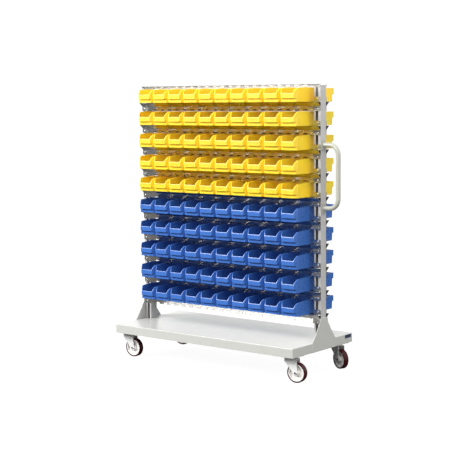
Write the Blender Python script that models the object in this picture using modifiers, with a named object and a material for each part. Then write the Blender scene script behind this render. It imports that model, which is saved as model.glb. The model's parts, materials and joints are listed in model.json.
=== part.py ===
"""Mobile bin cart: ten rows of small open bins on rails between two posts, on a tray with casters.

The cart stands on the floor at height zero, its fronts face -Y and its push handle is at +X.
Lengths are in metres.
"""

from math import cos, hypot, pi, radians, sin

import bmesh
import bpy
from mathutils import Matrix, Vector

# Fits and tools
GAP = 0.0003                    # between two pieces that rest on each other
OVERRUN = 0.003                 # how far a cutter runs past the face it opens
WELD = 0.00001                  # points closer than this are one point
FLAT_ANGLE = radians(0.2)       # faces closer than this in angle are one face

# Bin rack
ROWS = 10
COLUMNS = 10
YELLOW_ROWS = 5                 # counted from the top, the rest are blue
SLIDE_ROWS = (3, 8)             # rows whose bin at the handle end slides out
BIN_PITCH = 0.103
ROW_CLEARANCE = 0.0027          # between the bins' rims and the rail above
LOWEST_ROW_LIFT = 0.1305        # soles of the lowest bins above the tray

# One bin, seen from the side: reaches are counted from the middle of the rack
BIN_HEIGHT = 0.0716
BIN_FRONT_REACH = 0.143
BIN_REAR_REACH = 0.190
BIN_WALL = 0.0024
BIN_FLOOR = 0.0026
BIN_SPACING = 0.003             # clear gap between the sides of two bins
SOLE_FRONT_REACH = 0.131
SOLE_REAR_REACH = 0.1765
PANEL_LOW = 0.019               # front panel, lower and upper edge
PANEL_HIGH = 0.040
PANEL_SIDE_CUT = 0.013          # the panel is this much narrower than the bin, each side
SHOULDER_REACH = 0.121          # where the sides turn in and down to the panel
SHOULDER_DROP = 0.0036
CREST_REACH = 0.066
REAR_RIM_DROP = 0.0046
REAR_LIP_HEIGHT = 0.029
REAR_LIP_DEPTH = 0.011
RIM_JOIN_HEIGHT = 0.006         # band in which the rims of a row hang together
RIM_JOIN_REACH = 0.060          # the rims are joined from here to the rear

# Posts
POST_WIDTH = 0.040
POST_DEPTH = 0.0484
POST_WALL = 0.0025
POST_TOP_RISE = 0.0108          # above the rims of the highest bins
MOUTH_SHARE = 0.36              # of the post's width, open to the front over its whole height
OUTER_LIP_SHARE = 0.385         # of the post's width, from its outer face to the mouth

# Rails
RAIL_SHEET = 0.002
LEDGE_DEPTH = 0.0255            # from the post's face to the ledge's edge
KINK_DROP = 0.020
FLANGE_DROP = 0.042
TAB_RISE = 0.026
NOTCH_WIDTH = 0.0235
NOTCH_DEPTH = 0.008
NOTCHES_PER_BIN = 2
TOP_STRIP_HEIGHT = 0.0125
TOP_STRIP_DEPTH = 0.0095

# Tray
TRAY_LENGTH = 1.160
TRAY_DEPTH = 0.528
SKIRT_HEIGHT = 0.0464
TRAY_SHEET = 0.002
CHANNEL_MARGIN = 0.002          # a cross channel is this much wider than the plates, each side
CHANNEL_END_GAP = 0.012         # between a cross channel's end and the skirt

# Gusset plates at the feet of the posts
GUSSET_SHEET = 0.003
GUSSET_HALF_WIDTH = 0.112
GUSSET_HEIGHT = 0.162
GUSSET_OUTLINE_SHARES = ((1.0, 0.0), (0.89, 0.31), (0.65, 0.56), (0.36, 0.87), (0.29, 1.0))

# Push handle
HANDLE_RADIUS = 0.012
HANDLE_STANDOFF = 0.085         # from the post to the middle of the grip
HANDLE_SPACING = 0.310          # between the two arms
HANDLE_MIDDLE = 0.991           # height of the grip's middle
HANDLE_BEND = 0.048
HANDLE_BEND_STEPS = 5

# Casters
CASTER_HEIGHT = 0.131           # from the floor to the skirt and the plates
CASTER_END_INSET = 0.047        # swivel axes from the ends and the sides of the tray
CASTER_SIDE_INSET = 0.064
CASTER_TRAIL = 0.026
CASTER_TURNS = {"front_right": 7.0, "front_left": 4.0, "rear_right": -20.0, "rear_left": 12.0}
PLATE_LENGTH = 0.100            # along Y
PLATE_WIDTH = 0.084
PLATE_SHEET = 0.003
RACE_RADIUS = 0.027
RACE_LOW_RADIUS = 0.022
RACE_HEIGHT = 0.008
RACE_SIDES = 20
FORK_SHEET = 0.0025
FORK_HEAD_LENGTH = 0.070
FORK_BOSS_RADIUS = 0.010
FORK_BOSS_STEPS = 6
WHEEL_SIDES = 24
WHEEL_RADIUS = 0.050
TREAD_WIDTH = 0.028
TREAD_DEPTH = 0.007
TREAD_SHOULDER = 0.0035
RIM_DEPTH = 0.006
RIM_SIDE_INSET = 0.001          # the rim is this much narrower than the tread, each side
WEB_WIDTH = 0.007
HUB_RADIUS = 0.012
WHEEL_SIDE_PLAY = 0.0005        # between the hub's ends and the fork
FORK_TREAD_GAP = 0.003
AXLE_RADIUS = 0.004
AXLE_HEAD_RADIUS = 0.0065
AXLE_HEAD_HEIGHT = 0.004
AXLE_SIDES = 12

# Sizes that follow from the ones above
half_length = TRAY_LENGTH / 2
half_depth = TRAY_DEPTH / 2
caster_across = half_length - CASTER_END_INSET
caster_along = half_depth - CASTER_SIDE_INSET
tray_top = CASTER_HEIGHT + SKIRT_HEIGHT
rack_width = COLUMNS * BIN_PITCH
row_pitch = BIN_HEIGHT + ROW_CLEARANCE + FLANGE_DROP
lowest_sole = tray_top + LOWEST_ROW_LIFT
highest_sole = lowest_sole + (ROWS - 1) * row_pitch
rail_inner = POST_DEPTH / 2 + GAP
rail_outer = rail_inner + RAIL_SHEET
ledge_edge = rail_inner + LEDGE_DEPTH
gusset_outer = half_length + GAP + GUSSET_SHEET
handle_outer = half_length + GAP + HANDLE_STANDOFF + HANDLE_RADIUS
cart_shift = (gusset_outer - handle_outer) / 2
axle_height = WHEEL_RADIUS * cos(pi / WHEEL_SIDES)
hub_half = TREAD_WIDTH / 2 + FORK_TREAD_GAP - WHEEL_SIDE_PLAY
fork_inner_half = hub_half + WHEEL_SIDE_PLAY
fork_outer_half = fork_inner_half + FORK_SHEET
fork_top = CASTER_HEIGHT - PLATE_SHEET - RACE_HEIGHT - GAP

# Placements of a flat outline: its thickness runs along X, or along Y
ALONG_X = Matrix(((0, 0, 1, 0), (1, 0, 0, 0), (0, 1, 0, 0), (0, 0, 0, 1)))
ALONG_Y = Matrix.Rotation(pi / 2, 4, "X")


def sole_height(row):
    """Height of the soles of a row, counted from 1 at the top."""
    return highest_sole - (row - 1) * row_pitch


# Scene and materials
def empty_scene():
    """Remove what the scene holds and return a collection for the parts and one for cutters."""
    for thing in list(bpy.data.objects):
        bpy.data.objects.remove(thing, do_unlink=True)
    made = []
    for name in ("mobile_bin_cart", "mobile_bin_cart_cutters"):
        collection = bpy.data.collections.new(name)
        bpy.context.scene.collection.children.link(collection)
        made.append(collection)
    return made


def linear(channel):
    """Linear value of one sRGB channel between 0 and 1."""
    if channel <= 0.04045:
        return channel / 12.92
    return ((channel + 0.055) / 1.055) ** 2.4


def finish(name, colour, roughness, metallic=0.0):
    """A material from a hex sRGB colour."""
    material = bpy.data.materials.new(name)
    material.use_nodes = True
    channels = [linear(int(colour[i:i + 2], 16) / 255) for i in (0, 2, 4)]
    shader = material.node_tree.nodes["Principled BSDF"]
    shader.inputs["Base Color"].default_value = (*channels, 1.0)
    shader.inputs["Roughness"].default_value = roughness
    shader.inputs["Metallic"].default_value = metallic
    material.diffuse_color = (*channels, 1.0)
    return material


PARTS, CUTTERS = empty_scene()
YELLOW = finish("yellow_polypropylene", "E6C828", 0.35)
BLUE = finish("blue_polypropylene", "4B69AF", 0.35)
PAINT = finish("light_grey_powder_coat", "D8D8D3", 0.35)
RAIL_ZINC = finish("zinc_plated_rail", "9EA4A2", 0.3, 0.9)
POST_PAINT = finish("grey_post_coat", "B4B5B0", 0.4)
HANDLE_COAT = finish("handle_coat", "C9CBBE", 0.35)
CASTER_ZINC = finish("zinc_plated_caster", "C4C8CC", 0.3, 0.9)
WHEEL_CREAM = finish("cream_polyamide", "DDD8C4", 0.45)
TREAD_MAROON = finish("maroon_polyurethane", "3A0A10", 0.4)


# Modelling helpers
def closed_mesh(piece):
    """Mesh of a piece as its modifiers leave it, welded, with flat areas merged, facing out."""
    depsgraph = bpy.context.evaluated_depsgraph_get()
    mesh = bpy.data.meshes.new_from_object(piece.evaluated_get(depsgraph))
    shape = bmesh.new()
    shape.from_mesh(mesh)
    bmesh.ops.remove_doubles(shape, verts=shape.verts[:], dist=WELD)
    bmesh.ops.dissolve_limit(shape, angle_limit=FLAT_ANGLE, verts=shape.verts[:], edges=shape.edges[:])
    bmesh.ops.recalc_face_normals(shape, faces=shape.faces[:])
    shape.to_mesh(mesh)
    shape.free()
    return mesh


def settle(piece):
    """Replace a helper piece by its closed mesh."""
    mesh = closed_mesh(piece)
    bpy.data.objects.remove(piece, do_unlink=True)
    return mesh


def helper(name, data):
    """A piece that is only there while another one is being made."""
    piece = bpy.data.objects.new(name, data)
    piece.hide_render = True
    piece.display_type = "WIRE"
    CUTTERS.objects.link(piece)
    return piece


def slab(outlines, thickness, placement):
    """Mesh of one or more flat outlines with a thickness centred on their plane."""
    curve = bpy.data.curves.new("outline", "CURVE")
    curve.dimensions = "2D"
    curve.fill_mode = "BOTH"
    curve.extrude = thickness / 2
    for outline in outlines:
        spline = curve.splines.new("POLY")
        spline.points.add(len(outline) - 1)
        for point, (across, up) in zip(spline.points, outline):
            point.co = (across, up, 0, 1)
        spline.use_cyclic_u = True
    mesh = settle(helper("outline", curve))
    mesh.transform(placement)
    return mesh


def blocks(corners):
    """Mesh of boxes, each given by its lowest and highest corner."""
    shape = bmesh.new()
    for low, high in corners:
        low, high = Vector(low), Vector(high)
        place = Matrix.Translation((low + high) / 2) @ Matrix.Diagonal((*(high - low), 1))
        bmesh.ops.create_cube(shape, size=1, matrix=place)
    mesh = bpy.data.meshes.new("blocks")
    shape.to_mesh(mesh)
    shape.free()
    return mesh


def turned(profile, sides):
    """Mesh of a profile of (radius, height) points turned about Z, its first flat facing -X."""
    mesh = bpy.data.meshes.new("profile")
    count = len(profile)
    ring = profile[0][0] > 0
    edges = [(i, (i + 1) % count) for i in range(count if ring else count - 1)]
    mesh.from_pydata([(radius, 0, height) for radius, height in profile], edges, [])
    piece = helper("profile", mesh)
    screw = piece.modifiers.new("turn", "SCREW")
    screw.steps = sides
    screw.render_steps = sides
    screw.use_merge_vertices = True
    screw.merge_threshold = WELD
    mesh = settle(piece)
    mesh.transform(Matrix.Rotation(pi / sides, 4, "Z"))
    return mesh


def repeated(mesh, places):
    """Mesh with a copy of another mesh at each place."""
    shape = bmesh.new()
    for place in places:
        copy = mesh.copy()
        copy.transform(Matrix.Translation(place))
        shape.from_mesh(copy)
        bpy.data.meshes.remove(copy)
    mesh = bpy.data.meshes.new("copies")
    shape.to_mesh(mesh)
    shape.free()
    return mesh


def combined(mesh, tool, operation):
    """Mesh after a Boolean with a tool mesh: DIFFERENCE, INTERSECT or UNION."""
    piece = helper("blank", mesh)
    cutter = helper("tool", tool)
    boolean = piece.modifiers.new("combine", "BOOLEAN")
    boolean.operation = operation
    boolean.solver = "EXACT"
    boolean.object = cutter
    mesh = settle(piece)
    bpy.data.objects.remove(cutter, do_unlink=True)
    return mesh


def part(name, mesh, material, parent, location=(0, 0, 0), smooth=False):
    """Place a finished mesh as a named part."""
    mesh = mesh.copy()
    mesh.name = name
    mesh.materials.clear()
    mesh.materials.append(material)
    if smooth:
        mesh.shade_smooth()
        mesh.set_sharp_from_angle(angle=radians(40))
    piece = bpy.data.objects.new(name, mesh)
    piece.location = location
    piece.parent = parent
    PARTS.objects.link(piece)
    return piece


def guide(name, parent, location, turn=0.0):
    """An empty that carries moving pieces at their joint."""
    empty = bpy.data.objects.new(name, None)
    empty.location = location
    empty.rotation_euler = (0, 0, turn)
    empty.parent = parent
    PARTS.objects.link(empty)
    return empty


# Bins
def bin_outline():
    """Side view of a bin, front at the left."""
    crest = (-CREST_REACH, BIN_HEIGHT)
    shoulder = (-SHOULDER_REACH, BIN_HEIGHT - SHOULDER_DROP)
    rear_rim = BIN_HEIGHT - REAR_RIM_DROP
    lip = rear_rim - REAR_LIP_HEIGHT
    lip_root = BIN_REAR_REACH - REAR_LIP_DEPTH
    front = [(-SOLE_FRONT_REACH, 0), (-BIN_FRONT_REACH, PANEL_LOW), (-BIN_FRONT_REACH, PANEL_HIGH)]
    rear = [(BIN_REAR_REACH, rear_rim), (BIN_REAR_REACH, lip), (lip_root, lip), (SOLE_REAR_REACH, 0)]
    return front + [shoulder, crest] + rear


def cavity_outline():
    """Side view of the hollow of a bin, open upwards past the rim."""
    above = BIN_HEIGHT + OVERRUN
    front = -BIN_FRONT_REACH + BIN_WALL
    rear_foot = SOLE_REAR_REACH - BIN_WALL
    rear_top = BIN_REAR_REACH - REAR_LIP_DEPTH - BIN_WALL
    return [(-SOLE_FRONT_REACH + BIN_WALL / 2, BIN_FLOOR), (front, PANEL_LOW + BIN_FLOOR / 2),
            (front, above), (rear_top, above), (rear_foot, BIN_FLOOR)]


def plan_outline(half_width, shoulder, front, front_half):
    """A bin seen from above, its front corners cut off, open to the rear past the rim."""
    rear = BIN_REAR_REACH + OVERRUN
    half = [(half_width, rear), (half_width, -shoulder), (front_half, -front)]
    return half + [(-across, along) for across, along in reversed(half)]


def bin_hollow():
    """Mesh of the inside of a bin, a wall's thickness inside its outline all round."""
    half_width = (BIN_PITCH - BIN_SPACING) / 2
    run = BIN_FRONT_REACH - SHOULDER_REACH
    slant = hypot(run, PANEL_SIDE_CUT)
    shoulder = SHOULDER_REACH - BIN_WALL * (slant - run) / PANEL_SIDE_CUT
    front_half = half_width - PANEL_SIDE_CUT - BIN_WALL * (slant - PANEL_SIDE_CUT) / run
    inside = half_width - BIN_WALL
    hollow = slab([cavity_outline()], 2 * (inside + OVERRUN), ALONG_X)
    plan = plan_outline(inside, shoulder, BIN_FRONT_REACH - BIN_WALL, front_half)
    return combined(hollow, slab([plan], 4 * BIN_HEIGHT, Matrix()), "INTERSECT")


def corner_outlines(edges):
    """Plan of the notch that two cut front corners leave at each edge between bins."""
    narrow = BIN_SPACING / 2
    wide = narrow + PANEL_SIDE_CUT
    ahead = BIN_FRONT_REACH + OVERRUN
    half = [(narrow, -SHOULDER_REACH), (wide, -BIN_FRONT_REACH), (wide, -ahead)]
    loop = half + [(-across, along) for across, along in reversed(half)]
    return [[(edge + across, along) for across, along in loop] for edge in edges]


def spacing_outline():
    """Side view of the gap between two bins of a row, which leaves a joined band at the rims."""
    below = -OVERRUN
    above = BIN_HEIGHT + OVERRUN
    band = BIN_HEIGHT - REAR_RIM_DROP - RIM_JOIN_HEIGHT
    front = -BIN_FRONT_REACH - OVERRUN
    rear = BIN_REAR_REACH + OVERRUN
    return [(front, below), (rear, below), (rear, band), (-RIM_JOIN_REACH, band),
            (-RIM_JOIN_REACH, above), (front, above)]


def bin_row(columns):
    """Mesh of neighbouring bins, from the left end of the rack."""
    left = -rack_width / 2
    width = columns * BIN_PITCH - BIN_SPACING
    edges = [left + column * BIN_PITCH for column in range(columns + 1)]
    centres = [(edge + BIN_PITCH / 2, 0, 0) for edge in edges[:-1]]
    middle = (edges[0] + edges[-1]) / 2
    row = slab([bin_outline()], width, Matrix.Translation((middle, 0, 0)) @ ALONG_X)
    row = combined(row, slab(corner_outlines(edges), 4 * BIN_HEIGHT, Matrix()), "DIFFERENCE")
    row = combined(row, repeated(bin_hollow(), centres), "DIFFERENCE")
    if columns > 1:
        space = slab([spacing_outline()], BIN_SPACING, ALONG_X)
        between = [(edge, 0, 0) for edge in edges[1:-1]]
        row = combined(row, repeated(space, between), "DIFFERENCE")
    return row


def add_bins(cart):
    """Ten rows of bins; in two rows the bin at the handle end is a piece of its own."""
    full_row = bin_row(COLUMNS)
    short_row = bin_row(COLUMNS - 1)
    single = bin_row(1)
    for row in range(1, ROWS + 1):
        colour = YELLOW if row <= YELLOW_ROWS else BLUE
        mesh = short_row if row in SLIDE_ROWS else full_row
        part(f"bin_row_{row:02d}", mesh, colour, cart, (0, 0, sole_height(row)))
    names = ("slide_bin_yellow", "slide_bin_blue")
    last = (COLUMNS - 1) * BIN_PITCH
    for name, row, colour in zip(names, SLIDE_ROWS, (YELLOW, BLUE)):
        part(name, single, colour, cart, (last, 0, sole_height(row)))


# Rails
def rail_outline():
    """Side view of a front rail: end tab, ledge, slanted face and lower flange, ledge at zero."""
    run = ledge_edge - rail_outer
    slant = hypot(run, KINK_DROP)
    inner_edge = ledge_edge - RAIL_SHEET * (KINK_DROP + (run + slant) * run / KINK_DROP) / slant
    depth = ledge_edge - rail_inner - RAIL_SHEET * KINK_DROP / slant
    inner_kink = depth * KINK_DROP / run - RAIL_SHEET * run / slant
    return [(-rail_inner, TAB_RISE), (-rail_outer, TAB_RISE), (-rail_outer, 0), (-ledge_edge, 0),
            (-rail_outer, -KINK_DROP), (-rail_outer, -FLANGE_DROP), (-rail_inner, -FLANGE_DROP),
            (-rail_inner, -inner_kink), (-inner_edge, -RAIL_SHEET), (-rail_inner, -RAIL_SHEET)]


def strip_outline():
    """Side view of the top strip of the front, its lower edge at the flange's height."""
    low = -FLANGE_DROP
    high = low + TOP_STRIP_HEIGHT
    edge = rail_inner + TOP_STRIP_DEPTH
    return [(-rail_inner, low), (-rail_inner, high), (-edge, high), (-edge, high - RAIL_SHEET),
            (-rail_outer, high - RAIL_SHEET), (-rail_outer, low)]


def notch_blocks():
    """Boxes that notch the lower flange at each quarter of a bin's width."""
    spacing = BIN_PITCH / NOTCHES_PER_BIN
    count = COLUMNS * NOTCHES_PER_BIN
    low = (-rail_outer - OVERRUN, -FLANGE_DROP - OVERRUN)
    high = (-rail_inner + OVERRUN, -FLANGE_DROP + NOTCH_DEPTH)
    corners = []
    for index in range(count):
        middle = (index - (count - 1) / 2) * spacing
        corners.append(((middle - NOTCH_WIDTH / 2, *low), (middle + NOTCH_WIDTH / 2, *high)))
    return blocks(corners)


def rail_mesh():
    """Plain rail for one side of the rack, with its end tabs."""
    rail = slab([rail_outline()], TRAY_LENGTH, ALONG_X)
    between = half_length - POST_WIDTH
    low = (-between, -ledge_edge, 0)
    high = (between, -rail_inner + OVERRUN, TAB_RISE + OVERRUN)
    return combined(rail, blocks([(low, high)]), "DIFFERENCE")


def mirrored(mesh):
    """The same mesh for the rear side."""
    copy = mesh.copy()
    copy.transform(Matrix.Scale(-1, 4, (0, 1, 0)))
    copy.flip_normals()
    return copy


def add_rails(cart):
    """A front and a rear rail under each row, and a strip above the top row on each side."""
    rail = rail_mesh()
    strip = slab([strip_outline()], TRAY_LENGTH, ALONG_X)
    front_rail = combined(rail.copy(), notch_blocks(), "DIFFERENCE")
    front_strip = combined(strip.copy(), notch_blocks(), "DIFFERENCE")
    rear_rail = mirrored(rail)
    for row in range(1, ROWS + 1):
        place = (0, 0, sole_height(row) - GAP)
        part(f"front_rail_{row:02d}", front_rail, RAIL_ZINC, cart, place)
        part(f"rear_rail_{row:02d}", rear_rail, RAIL_ZINC, cart, place)
    place = (0, 0, sole_height(0) - GAP)
    part("front_top_strip", front_strip, RAIL_ZINC, cart, place)
    part("rear_top_strip", mirrored(strip), RAIL_ZINC, cart, place)


# Frame
def post_mesh():
    """Right post: a lipped channel that opens to the front."""
    deep = POST_DEPTH / 2
    inner_face = half_length - POST_WIDTH
    foot = tray_top + GAP
    top = highest_sole + BIN_HEIGHT + POST_TOP_RISE
    low_inside = (inner_face + POST_WALL, POST_WALL - deep, foot - OVERRUN)
    high_inside = (half_length - POST_WALL, deep - POST_WALL, top + OVERRUN)
    mouth_edge = half_length - POST_WIDTH * OUTER_LIP_SHARE
    low_mouth = (mouth_edge - POST_WIDTH * MOUTH_SHARE, -deep - OVERRUN, foot - OVERRUN)
    high_mouth = (mouth_edge, 0, top + OVERRUN)
    tube = blocks([((inner_face, -deep, foot), (half_length, deep, top))])
    channel = combined(tube, blocks([(low_inside, high_inside)]), "DIFFERENCE")
    return combined(channel, blocks([(low_mouth, high_mouth)]), "DIFFERENCE")


def left_copy(mesh):
    """The same mesh for the left end of the cart."""
    copy = mesh.copy()
    copy.transform(Matrix.Scale(-1, 4, (1, 0, 0)))
    copy.flip_normals()
    return copy


def tray_mesh():
    """Tray folded from one sheet, with a welded channel across each end for the casters."""
    low = (-half_length, -half_depth, CASTER_HEIGHT)
    high = (half_length, half_depth, tray_top)
    inside_x = half_length - TRAY_SHEET
    inside_y = half_depth - TRAY_SHEET
    ceiling = tray_top - TRAY_SHEET
    low_inside = (-inside_x, -inside_y, CASTER_HEIGHT - OVERRUN)
    high_inside = (inside_x, inside_y, ceiling)
    tray = combined(blocks([(low, high)]), blocks([(low_inside, high_inside)]), "DIFFERENCE")
    half_width = PLATE_WIDTH / 2 + CHANNEL_MARGIN
    reach = inside_y - CHANNEL_END_GAP
    floor = CASTER_HEIGHT + GAP
    solid, hollow = [], []
    for middle in (-caster_across, caster_across):
        left, right = middle - half_width, middle + half_width
        solid.append(((left, -reach, floor), (right, reach, ceiling + TRAY_SHEET / 2)))
        hollow.append(((left + TRAY_SHEET, -reach - OVERRUN, floor + TRAY_SHEET),
                       (right - TRAY_SHEET, reach + OVERRUN, ceiling)))
    channels = combined(blocks(solid), blocks(hollow), "DIFFERENCE")
    return combined(tray, channels, "UNION")


def gusset_mesh():
    """Plate that ties the right post to the tray's end."""
    half = [(GUSSET_HALF_WIDTH * across, CASTER_HEIGHT + GUSSET_HEIGHT * up)
            for across, up in GUSSET_OUTLINE_SHARES]
    outline = half + [(-across, up) for across, up in reversed(half)]
    middle = half_length + GAP + GUSSET_SHEET / 2
    return slab([outline], GUSSET_SHEET, Matrix.Translation((middle, 0, 0)) @ ALONG_X)


def handle_route():
    """Points along the middle of the push handle, from the upper arm to the lower one."""
    start = half_length + GAP
    grip = start + HANDLE_STANDOFF
    low = HANDLE_MIDDLE - HANDLE_SPACING / 2
    high = HANDLE_MIDDLE + HANDLE_SPACING / 2
    bend = grip - HANDLE_BEND
    angles = [pi / 2 * step / HANDLE_BEND_STEPS for step in range(HANDLE_BEND_STEPS + 1)]
    upper = [(bend + HANDLE_BEND * sin(a), high - HANDLE_BEND * (1 - cos(a))) for a in angles]
    lower = [(bend + HANDLE_BEND * cos(a), low + HANDLE_BEND * (1 - sin(a))) for a in angles]
    return [(start, high)] + upper + lower + [(start, low)]


def handle_mesh():
    """Round tube along the handle's route."""
    curve = bpy.data.curves.new("handle", "CURVE")
    curve.dimensions = "3D"
    curve.bevel_depth = HANDLE_RADIUS
    curve.bevel_resolution = 4
    curve.use_fill_caps = True
    route = handle_route()
    spline = curve.splines.new("POLY")
    spline.points.add(len(route) - 1)
    for point, (across, up) in zip(spline.points, route):
        point.co = (across, 0, up, 1)
    return settle(helper("handle", curve))


def add_frame(cart):
    """Tray, posts, gussets and handle."""
    post = post_mesh()
    gusset = gusset_mesh()
    part("base_tray", tray_mesh(), PAINT, cart)
    part("right_post", post, POST_PAINT, cart)
    part("left_post", left_copy(post), POST_PAINT, cart)
    part("right_gusset", gusset, PAINT, cart)
    part("left_gusset", left_copy(gusset), PAINT, cart)
    part("push_handle", handle_mesh(), HANDLE_COAT, cart, smooth=True)


# Casters
def plate_mesh():
    """Top plate with the fixed half of the swivel race, origin on the swivel axis at the floor."""
    low = CASTER_HEIGHT - PLATE_SHEET
    corner = (PLATE_WIDTH / 2, PLATE_LENGTH / 2)
    plate = blocks([((-corner[0], -corner[1], low), (*corner, CASTER_HEIGHT))])
    middle = low + PLATE_SHEET / 2
    race = turned([(0, middle), (RACE_RADIUS, middle), (RACE_RADIUS, low),
                   (RACE_LOW_RADIUS, low - RACE_HEIGHT), (0, low - RACE_HEIGHT)], RACE_SIDES)
    return combined(plate, race, "UNION")


def fork_outline():
    """Side view of the fork: a long head that tapers down to the axle boss."""
    half = FORK_HEAD_LENGTH / 2
    boss = []
    for step in range(FORK_BOSS_STEPS + 1):
        angle = -pi * step / FORK_BOSS_STEPS
        across = CASTER_TRAIL + FORK_BOSS_RADIUS * cos(angle)
        boss.append((across, axle_height + FORK_BOSS_RADIUS * sin(angle)))
    shoulder = fork_top - FORK_SHEET - RACE_HEIGHT
    return [(-half, fork_top), (half, fork_top), (half, shoulder)] + boss + [(-half, shoulder)]


def axle_bore():
    """Round cutter through both blades of the fork."""
    reach = fork_outer_half + OVERRUN
    radius = AXLE_RADIUS + GAP
    bore = turned([(0, reach), (radius, reach), (radius, -reach), (0, -reach)], AXLE_SIDES)
    bore.transform(Matrix.Translation((CASTER_TRAIL, 0, axle_height)) @ ALONG_Y)
    return bore


def fork_mesh():
    """Swivel fork: two blades under one head, pressed from sheet."""
    fork = slab([fork_outline()], 2 * fork_outer_half, ALONG_Y)
    reach = max(FORK_HEAD_LENGTH, CASTER_TRAIL + FORK_BOSS_RADIUS) + OVERRUN
    low = (-reach, -fork_inner_half, -OVERRUN)
    high = (reach, fork_inner_half, fork_top - FORK_SHEET)
    fork = combined(fork, blocks([(low, high)]), "DIFFERENCE")
    return combined(fork, axle_bore(), "DIFFERENCE")


def core_mesh():
    """Wheel core about its own axle: hub, web and rim."""
    bore = AXLE_RADIUS + GAP
    rim_outer = WHEEL_RADIUS - TREAD_DEPTH - GAP
    rim_inner = rim_outer - RIM_DEPTH
    rim_half = TREAD_WIDTH / 2 - RIM_SIDE_INSET
    web_half = WEB_WIDTH / 2
    side = [(bore, hub_half), (HUB_RADIUS, hub_half), (HUB_RADIUS, web_half),
            (rim_inner, web_half), (rim_inner, rim_half), (rim_outer, rim_half)]
    mesh = turned(side + [(radius, -height) for radius, height in reversed(side)], WHEEL_SIDES)
    mesh.transform(ALONG_Y)
    return mesh


def tread_mesh():
    """Tread with rounded shoulders on the wheel's rim."""
    inner = WHEEL_RADIUS - TREAD_DEPTH
    half = TREAD_WIDTH / 2
    side = [(inner, half), (WHEEL_RADIUS - TREAD_SHOULDER, half), (WHEEL_RADIUS, half - TREAD_SHOULDER)]
    mesh = turned(side + [(radius, -height) for radius, height in reversed(side)], WHEEL_SIDES)
    mesh.transform(ALONG_Y)
    return mesh


def axle_mesh():
    """Axle bolt with its head and nut outside the fork's blades."""
    inner = fork_outer_half + GAP
    outer = inner + AXLE_HEAD_HEIGHT
    side = [(0, outer), (AXLE_HEAD_RADIUS, outer), (AXLE_HEAD_RADIUS, inner), (AXLE_RADIUS, inner)]
    mesh = turned(side + [(radius, -height) for radius, height in reversed(side)], AXLE_SIDES)
    mesh.transform(ALONG_Y)
    return mesh


def add_casters(cart):
    """Four swivel casters, each turned a little its own way."""
    plate, fork, axle = plate_mesh(), fork_mesh(), axle_mesh()
    core, tread = core_mesh(), tread_mesh()
    for corner, turn in CASTER_TURNS.items():
        end, side = corner.split("_")
        across = caster_across if side == "right" else -caster_across
        along = caster_along if end == "rear" else -caster_along
        name = f"caster_{corner}"
        swivel = guide(f"{name}_swivel_axis", cart, (across, along, 0), radians(turn))
        wheel = guide(f"{name}_wheel_axis", swivel, (CASTER_TRAIL, 0, axle_height))
        part(f"{name}_plate", plate, CASTER_ZINC, cart, (across, along, 0))
        part(f"{name}_fork", fork, CASTER_ZINC, swivel)
        part(f"{name}_axle", axle, CASTER_ZINC, wheel, smooth=True)
        part(f"{name}_wheel_core", core, WHEEL_CREAM, wheel, smooth=True)
        part(f"{name}_tread", tread, TREAD_MAROON, wheel, smooth=True)


def build():
    """Model the whole cart, centred between its left end plate and its handle."""
    cart = guide("cart_frame", None, (cart_shift, 0, 0))
    add_frame(cart)
    add_rails(cart)
    add_bins(cart)
    add_casters(cart)


build()
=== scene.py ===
# %% [markdown]
# # A mobile bin cart
# The cart is a tray on four swivel casters. Two channel posts stand on the tray and hold ten pairs
# of steel rails, and a hundred slim plastic bins rest on the rails. The CAD model already fixes
# every size, so this lesson only dresses it: each step makes one kind of piece, finishes it, and
# puts it where the CAD says.

import json
from math import cos, hypot, pi, radians, sin

import bmesh
import bpy
from mathutils import Matrix, Vector

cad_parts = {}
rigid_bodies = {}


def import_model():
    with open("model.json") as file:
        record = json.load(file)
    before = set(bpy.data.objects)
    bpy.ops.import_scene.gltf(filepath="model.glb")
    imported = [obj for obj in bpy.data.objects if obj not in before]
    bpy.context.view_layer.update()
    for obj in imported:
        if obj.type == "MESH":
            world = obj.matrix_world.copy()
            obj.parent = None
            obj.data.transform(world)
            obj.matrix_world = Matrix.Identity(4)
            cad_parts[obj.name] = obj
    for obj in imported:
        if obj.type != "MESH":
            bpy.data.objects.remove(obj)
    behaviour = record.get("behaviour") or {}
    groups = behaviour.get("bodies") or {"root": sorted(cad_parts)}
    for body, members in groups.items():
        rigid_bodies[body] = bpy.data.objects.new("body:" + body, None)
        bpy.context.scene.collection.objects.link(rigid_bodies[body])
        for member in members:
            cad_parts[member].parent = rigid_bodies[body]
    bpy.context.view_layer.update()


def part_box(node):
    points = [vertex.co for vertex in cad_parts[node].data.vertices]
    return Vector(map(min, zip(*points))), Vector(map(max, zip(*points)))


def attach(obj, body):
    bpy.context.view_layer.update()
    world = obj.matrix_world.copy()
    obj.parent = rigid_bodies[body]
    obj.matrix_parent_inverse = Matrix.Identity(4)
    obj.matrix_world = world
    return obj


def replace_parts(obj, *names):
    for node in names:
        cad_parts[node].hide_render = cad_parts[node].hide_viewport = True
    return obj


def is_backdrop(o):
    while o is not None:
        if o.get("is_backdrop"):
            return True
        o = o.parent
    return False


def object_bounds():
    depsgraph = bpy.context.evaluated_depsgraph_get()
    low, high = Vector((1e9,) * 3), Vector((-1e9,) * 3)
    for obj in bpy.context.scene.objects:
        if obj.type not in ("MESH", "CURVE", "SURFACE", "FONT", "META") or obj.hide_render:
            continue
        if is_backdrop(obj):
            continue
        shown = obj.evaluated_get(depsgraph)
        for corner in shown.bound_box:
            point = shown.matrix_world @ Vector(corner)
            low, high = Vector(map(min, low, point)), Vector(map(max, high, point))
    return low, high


for thing in list(bpy.data.objects):
    bpy.data.objects.remove(thing)
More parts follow.
